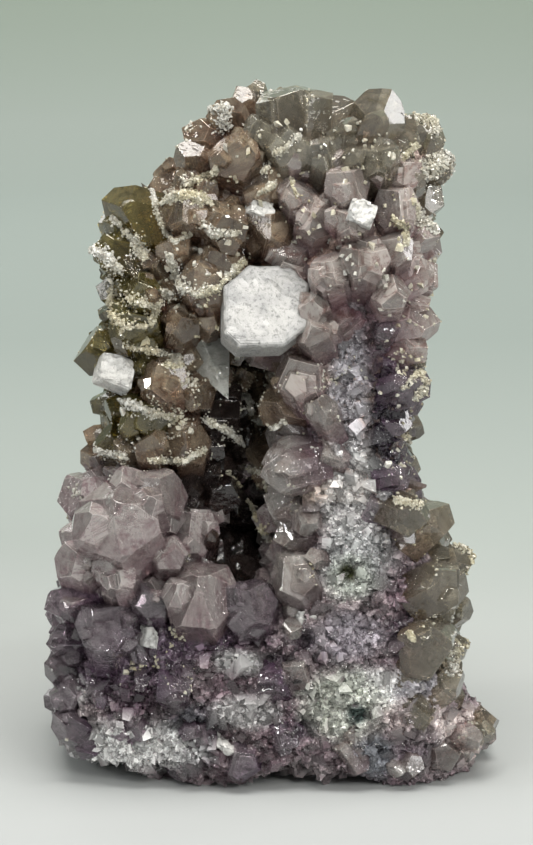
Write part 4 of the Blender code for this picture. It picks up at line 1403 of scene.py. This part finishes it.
def stain_and_shade(obj):
    """Writes the quartz's colour, painted shade included, into a colour attribute."""
    colours = [patch_colour(vert.co, vert.normal.y < PATCH_FRONTAL) for vert in obj.data.vertices]
    write_colours(obj.data, "stain_and_shade", "POINT", colours)


def set_values(node, values):
    for socket, value in values.items():
        node.inputs[socket].default_value = value


def start_material(name, values):
    """A material, its node tree, and its shader with some constants."""
    material = bpy.data.materials.new(name)
    material.use_nodes = True
    shader = material.node_tree.nodes["Principled BSDF"]
    set_values(shader, values)
    return material, material.node_tree, shader


def add_node(tree, kind, values, links, **settings):
    """A node with its settings, the constants of its sockets, and what its sockets are linked to."""
    node = tree.nodes.new(f"ShaderNode{kind}")
    for name, value in settings.items():
        setattr(node, name, value)
    set_values(node, values)
    for socket, source in links.items():
        tree.links.new(source, node.inputs[socket])
    return node


def object_coords(tree):
    return add_node(tree, "TexCoord", {}, {}).outputs["Object"]


def own_number(tree):
    """A random number for each separate crystal or grain of a mesh."""
    return add_node(tree, "NewGeometry", {}, {}).outputs["Random Per Island"]


def add_layer(tree, name):
    """A colour attribute's colour."""
    return add_node(tree, "VertexColor", {}, {}, layer_name=name).outputs["Color"]


def add_noise(tree, scale, detail, roughness=0.6, vector=None, distortion=0.0):
    values = {"Scale": scale, "Detail": detail, "Roughness": roughness, "Distortion": distortion}
    return add_node(tree, "TexNoise", values, {"Vector": vector or object_coords(tree)}).outputs["Fac"]


def add_cells(tree, scale):
    """Hollows with sharp rims between them, as a break leaves in quartz."""
    links = {"Vector": object_coords(tree)}
    return add_node(tree, "TexVoronoi", {"Scale": scale, "Detail": 1}, links).outputs["Distance"]


def add_veils(tree):
    """Streaks that run another way in each crystal."""
    spin = add_node(tree, "VectorMath", {0: VEIL_SPIN}, {"Scale": own_number(tree)}, operation="SCALE")
    links = {"Rotation": spin.outputs["Vector"], "Vector": object_coords(tree)}
    turn = add_node(tree, "VectorRotate", {}, links, rotation_type="EULER_XYZ")
    squash = add_node(tree, "Mapping", {"Scale": VEIL_SQUASH}, {"Vector": turn.outputs["Vector"]})
    return add_noise(tree, 600, 6, 0.8, squash.outputs["Vector"], 0.25)


def greys(*stops):
    """Stops of a ramp in plain greys."""
    return tuple((place, (shade, shade, shade)) for place, shade in stops)


def add_ramp(tree, source, stops):
    ramp = add_node(tree, "ValToRGB", {}, {"Fac": source})
    elements = ramp.color_ramp.elements
    while len(elements) < len(stops):
        elements.new(0.5)
    for element, (place, colour) in zip(elements, stops):
        element.position = place
        element.color = (*colour, 1)
    return ramp.outputs["Color"]


def add_range(tree, source, low, high, from_low, from_high):
    values = {"From Min": from_low, "From Max": from_high, "To Min": low, "To Max": high}
    return add_node(tree, "MapRange", values, {"Value": source}).outputs["Result"]


def add_product(tree, a, b):
    """The product of two colours."""
    mix = add_node(tree, "Mix", {}, {}, data_type="RGBA", blend_type="MULTIPLY")
    mix.inputs["Factor"].default_value = 1
    tree.links.new(a, mix.inputs[6])
    tree.links.new(b, mix.inputs[7])
    return mix.outputs[2]


def dress(tree, shader, colour, gloss, height, strength, distance):
    """Links a shader's colour, its roughness and a bump from a height, and returns the bump."""
    tree.links.new(colour, shader.inputs["Base Color"])
    tree.links.new(gloss, shader.inputs["Roughness"])
    bump = add_node(tree, "Bump", {"Strength": strength, "Distance": distance}, {"Height": height})
    tree.links.new(bump.outputs["Normal"], shader.inputs["Normal"])
    return bump


def milky(weight, depth):
    return {"Subsurface Weight": weight, "Subsurface Radius": MILKY_RADIUS, "Subsurface Scale": depth}


def quartz_material(name, dark, light, milk, absorb, density, root=None):
    """Clear to cloudy quartz: each point its own tint, clouds inside it, and finely etched faces."""
    values = {"IOR": QUARTZ_IOR, "Transmission Weight": 1 - milk, **QUARTZ_COAT}
    material, tree, shader = start_material(name, values)
    colour = add_ramp(tree, add_veils(tree), ((0.38, dark), (0.55, light)))
    colour = add_product(tree, colour, add_ramp(tree, own_number(tree), POINT_TINTS))
    if root:
        split = add_node(tree, "SeparateColor", {}, {"Color": add_layer(tree, "tone_and_height")})
        zone = add_ramp(tree, split.outputs["Green"], ((0.1, root), (0.85, (1, 1, 1))))
        # Red carries each face's tone, with the painted highlight on the edges
        colour = add_product(tree, add_product(tree, colour, zone), split.outputs["Red"])
    gloss = add_range(tree, add_noise(tree, 420, 5, 0.7), 0.0, 0.06, 0.42, 0.68)
    bump = dress(tree, shader, colour, gloss, add_cells(tree, 800), 0.5, 0.5 * MM)
    strength = add_range(tree, add_noise(tree, 150, 2), 0.01, 0.6, 0.48, 0.66)
    tree.links.new(strength, bump.inputs["Strength"])
    inside = add_node(tree, "VolumeAbsorption", {"Color": (*absorb, 1), "Density": density}, {})
    tree.links.new(inside.outputs["Volume"], tree.nodes["Material Output"].inputs["Volume"])
    return material


def mass_material():
    """Broken massive quartz: milky, slate and purple patches and painted shade, with bright cleaved grains.
    """
    material, tree, shader = start_material("massive_quartz", {"IOR": QUARTZ_IOR, **milky(0.3, 0.8 * MM)})
    grain = add_noise(tree, 900, 4, 0.75)
    colour = add_product(tree, add_layer(tree, "stain_and_shade"), add_ramp(tree, grain, FLECK_TONES))
    gloss = add_range(tree, grain, 0.25, 0.04, 0.4, 0.58)
    dress(tree, shader, colour, gloss, add_cells(tree, 1100), 0.7, 0.5 * MM)
    return material


def chip_material(name, shades):
    """Glassy splinters or lumps: each its own shade over the patch below it."""
    material, tree, shader = start_material(name, {"IOR": QUARTZ_IOR, "Transmission Weight": 0.6})
    own = add_ramp(tree, own_number(tree), greys(*shades))
    colour = add_product(tree, add_layer(tree, "stain_and_shade"), own)
    gloss = add_range(tree, add_noise(tree, 1200, 3, 0.7), 0.02, 0.2, 0.4, 0.65)
    dress(tree, shader, colour, gloss, add_cells(tree, 1500), 0.4, 0.3 * MM)
    return material


def sugar_material():
    """Fine glittering grains in the colour of the patch below them."""
    material, tree, shader = start_material("fine_sugar", {"IOR": QUARTZ_IOR, "Transmission Weight": 0.35})
    own = add_ramp(tree, own_number(tree), greys(*SUGAR_SHADES))
    colour = add_product(tree, add_layer(tree, "stain_and_shade"), own)
    grain = add_noise(tree, 1500, 3, 0.7)
    dress(tree, shader, colour, add_range(tree, grain, 0.05, 0.25, 0.4, 0.65), grain, 0.3, 0.15 * MM)
    return material


def druse_material():
    """Frosty white grains, a few of them yellowish."""
    values = {"IOR": 1.55, "Transmission Weight": 0.3, **milky(0.3, 0.4 * MM)}
    material, tree, shader = start_material("druse_grains", values)
    own = add_ramp(tree, own_number(tree), DRUSE_TONES)
    colour = add_product(tree, own, add_ramp(tree, add_noise(tree, 60, 2), DRUSE_CAST))
    grain = add_noise(tree, 1500, 3, 0.7)
    dress(tree, shader, colour, add_range(tree, grain, 0.08, 0.35, 0.4, 0.65), grain, 0.3, 0.15 * MM)
    return material


def calcite_material(name, tones):
    """Frosted calcite: white with grey speckle, in three tones from dark to pale."""
    material, tree, shader = start_material(name, {"IOR": 1.6})
    speckle = add_noise(tree, 1500, 5, 0.85)
    cloud = add_ramp(tree, add_noise(tree, 180, 3, 0.6), CALCITE_CLOUDS)
    colour = add_product(tree, add_ramp(tree, speckle, tuple(zip((0.34, 0.43, 0.53), tones))), cloud)
    dress(tree, shader, colour, add_range(tree, speckle, 0.45, 0.15, 0.35, 0.65), speckle, 0.4, 0.15 * MM)
    return material


def inside_box(mesh):
    """Keeps a mesh inside the solid's box, flat on the ground."""
    points = np.empty(len(mesh.vertices) * 3)
    mesh.vertices.foreach_get("co", points)
    low, high = (np.array(corner) for corner in CAD_BOX)
    mesh.vertices.foreach_set("co", np.clip(points.reshape(-1, 3), low, high).ravel())
    mesh.update()


def place(obj, material, slot, *nodes):
    """Puts a finished piece in the object's frame, gives it its material, and hides the solids it stands
    for.
    """
    obj.data.transform(Matrix.Translation(-FOOT_MIDDLE))
    inside_box(obj.data)
    obj.data.materials.clear()
    obj.data.materials.append(material)
    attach(obj, "root")
    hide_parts(*nodes)


def convex(name, planes, middle, edge, cuts, roughness):
    """A calcite crystal: a convex solid with worn edges and a slightly uneven surface."""
    bm = polyhedron([(normal, distance - normal.dot(middle)) for normal, distance in planes])
    bevel(bm, edge, 2)
    bmesh.ops.triangulate(bm, faces=bm.faces)
    bmesh.ops.subdivide_edges(bm, edges=bm.edges, cuts=cuts, use_grid_fill=True)
    bm.normal_update()
    for vert, normal in [(vert, vert.normal.copy()) for vert in bm.verts]:
        spot = vert.co + middle
        step = noise.noise(spot / CALCITE_WAVE) + 0.5 * noise.noise(spot / CALCITE_GRAIN)
        vert.co += normal * min(0, step - 0.2) * roughness
    bmesh.ops.translate(bm, verts=bm.verts, vec=middle)
    return add_object(name, bm)


def joined_surface(objects):
    """One tree of the surfaces of several objects."""
    points = []
    faces = []
    for obj in objects:
        start = len(points)
        points.extend(vert.co.copy() for vert in obj.data.vertices)
        faces.extend([index + start for index in face.vertices] for face in obj.data.polygons)
    return BVHTree.FromPolygons(points, faces)


def build_quartz():
    """The massive quartz with its points, splinters and druse; returns the surface that all of it makes."""
    coarse = make_mass()
    coarse.data.calc_loop_triangles()
    piles, rims = grow_points(coarse)
    grown = {name: pile.make(f"{name}_points") for name, pile in piles.items()}
    fine = fine_mass(coarse)
    bpy.data.objects.remove(coarse)
    fine.data.calc_loop_triangles()
    chips = broken_bits("broken_chips", fine.data, carries_chips, CHIP_SEED, CHIP_SORTS)
    lumps = broken_bits("glassy_lumps", fine.data, carries_lumps, LUMP_SEED, LUMP_SORTS, LUMP_CUTS)
    fine_sugar = broken_bits("fine_sugar", fine.data, carries_sugar, SUGAR_SEED, SUGAR_SORTS)
    for piece in (fine, chips, lumps, fine_sugar):
        stain_and_shade(piece)
    whole = joined_surface([*grown.values(), fine])
    shapes = grain_shapes(DRUSE_SEED, GRAIN_LEAST)
    druse, scattered, frost = Pile(), Pile(), Pile()
    front_druse(druse, shapes, whole)
    specks(scattered, shapes, whole)
    wild_druse(scattered, shapes, whole, fine.data)
    frosty_rims(frost, shapes, rims)
    white = druse_material()
    pieces = [
        (fine, mass_material()),
        (chips, chip_material("broken_chips", CHIP_SHADES)),
        (fine_sugar, sugar_material()),
        (lumps, chip_material("glassy_lumps", LUMP_SHADES)),
        (druse.make("druse_bands"), white),
        (scattered.make("scattered_grains"), white),
        (frost.make("frosted_edges"), white),
    ]
    for name, look in QUARTZ_LOOKS.items():
        pieces.append((grown[name], quartz_material(f"{name}_quartz", *look)))
    for piece, material in pieces:
        place(piece, material, "amethyst", "amethyst_cluster")
    return whole


def build_calcites(surface):
    """The plate, the clear point and the blocks, each in place of its solid."""
    plate = convex("white_calcite_plate", *plate_solid(), *PLATE_WEAR)
    place(plate, calcite_material("plate_calcite", PLATE_TONES), "white_calcite", "calcite_plate")
    spike = convex("clear_calcite_spike", *spike_solid(surface), *SPIKE_WEAR)
    place(spike, quartz_material("clear_calcite", *CLEAR_CALCITE), "clear_calcite", "calcite_spike")
    bright = calcite_material("block_calcite", BLOCK_TONES)
    for name, values in BLOCKS.items():
        block = convex(f"white_{name}", *block_solid(surface, *values), *BLOCK_WEAR)
        place(block, bright, "white_calcite", name)


def paint_crust():
    """The crust in the hollow keeps its solid, painted near black as shade."""
    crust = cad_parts["recess_crust"]
    crust.data.materials.clear()
    crust.data.materials.append(quartz_material("dark_quartz", *HOLLOW_SHADE_QUARTZ))


def add_stage():
    """A pale floor that sweeps up into a grey-green backdrop, its colour graded by depth as painted light
    and shade.
    """
    rows = [(STAGE_NEAR, 0.0)]
    for step in range(SWEEP_STEPS + 1):
        angle = step / SWEEP_STEPS * math.pi / 2
        rows.append((SWEEP_FROM + SWEEP_RADIUS * math.sin(angle), SWEEP_RADIUS * (1 - math.cos(angle))))
    rows.append((SWEEP_FROM + SWEEP_RADIUS, WALL_TOP))
    bm = bmesh.new()
    rails = [[bm.verts.new((x, y, z)) for y, z in rows] for x in (-STAGE_HALF, STAGE_HALF)]
    for i in range(len(rows) - 1):
        bm.faces.new((rails[0][i], rails[1][i], rails[1][i + 1], rails[0][i + 1]))
    stage = add_object("floor_sweep", bm)
    for polygon in stage.data.polygons:
        polygon.use_smooth = True
    material, tree, shader = start_material("paper_sweep", {"Roughness": 0.8})
    split = add_node(tree, "SeparateXYZ", {}, {"Vector": object_coords(tree)})
    # Painted light and shade graded along the depth
    depth = add_range(tree, split.outputs["Y"], 0, 1, *STAGE_TONES_SPAN)
    tree.links.new(add_ramp(tree, depth, STAGE_COLOURS_AND_SHADING), shader.inputs["Base Color"])
    stage.data.materials.append(material)


def add_light(name, spot, aim, size, power, colour=(1, 1, 1)):
    data = bpy.data.lights.new(name, "AREA")
    data.shape = "RECTANGLE"
    data.size, data.size_y = size
    data.energy = power
    data.color = colour
    light = link(name, data)
    light.location = spot
    light.rotation_mode = "QUATERNION"
    light.rotation_quaternion = (Vector(aim) - Vector(spot)).to_track_quat("-Z", "Y")


def add_lights():
    world = bpy.data.worlds.new("room")
    bpy.context.scene.world = world
    world.use_nodes = True
    set_values(world.node_tree.nodes["Background"], {"Color": ROOM_COLOUR, "Strength": ROOM_STRENGTH})
    for name, values in LAMPS.items():
        add_light(name, *values)
    for number, spot in enumerate(GLINT_PLACES):
        add_light(f"glint_{number}", spot, LAMP_AIM, GLINT_SIZE, GLINT_POWER)
    for number, spot in enumerate(STRIP_PLACES):
        add_light(f"strip_{number}", spot, LAMP_AIM, STRIP_SIZE, STRIP_POWER)


def add_camera():
    camera = link("camera", bpy.data.cameras.new("camera"))
    bpy.context.scene.camera = camera
    camera.location = EYE - FOOT_MIDDLE
    camera.rotation_mode = "QUATERNION"
    camera.rotation_quaternion = SIGHT.to_track_quat("-Z", "Y")
    camera.data.sensor_fit = "VERTICAL"
    camera.data.sensor_height = SENSOR
    camera.data.lens = SENSOR * VIEW_DISTANCE / (2 * FRAME_MIDDLE[1] * PIXEL)
    camera.data.clip_start = 0.01


bpy.context.scene.view_settings.view_transform = "Standard"
add_camera()
add_lights()
add_stage()
build_calcites(build_quartz())
paint_crust()
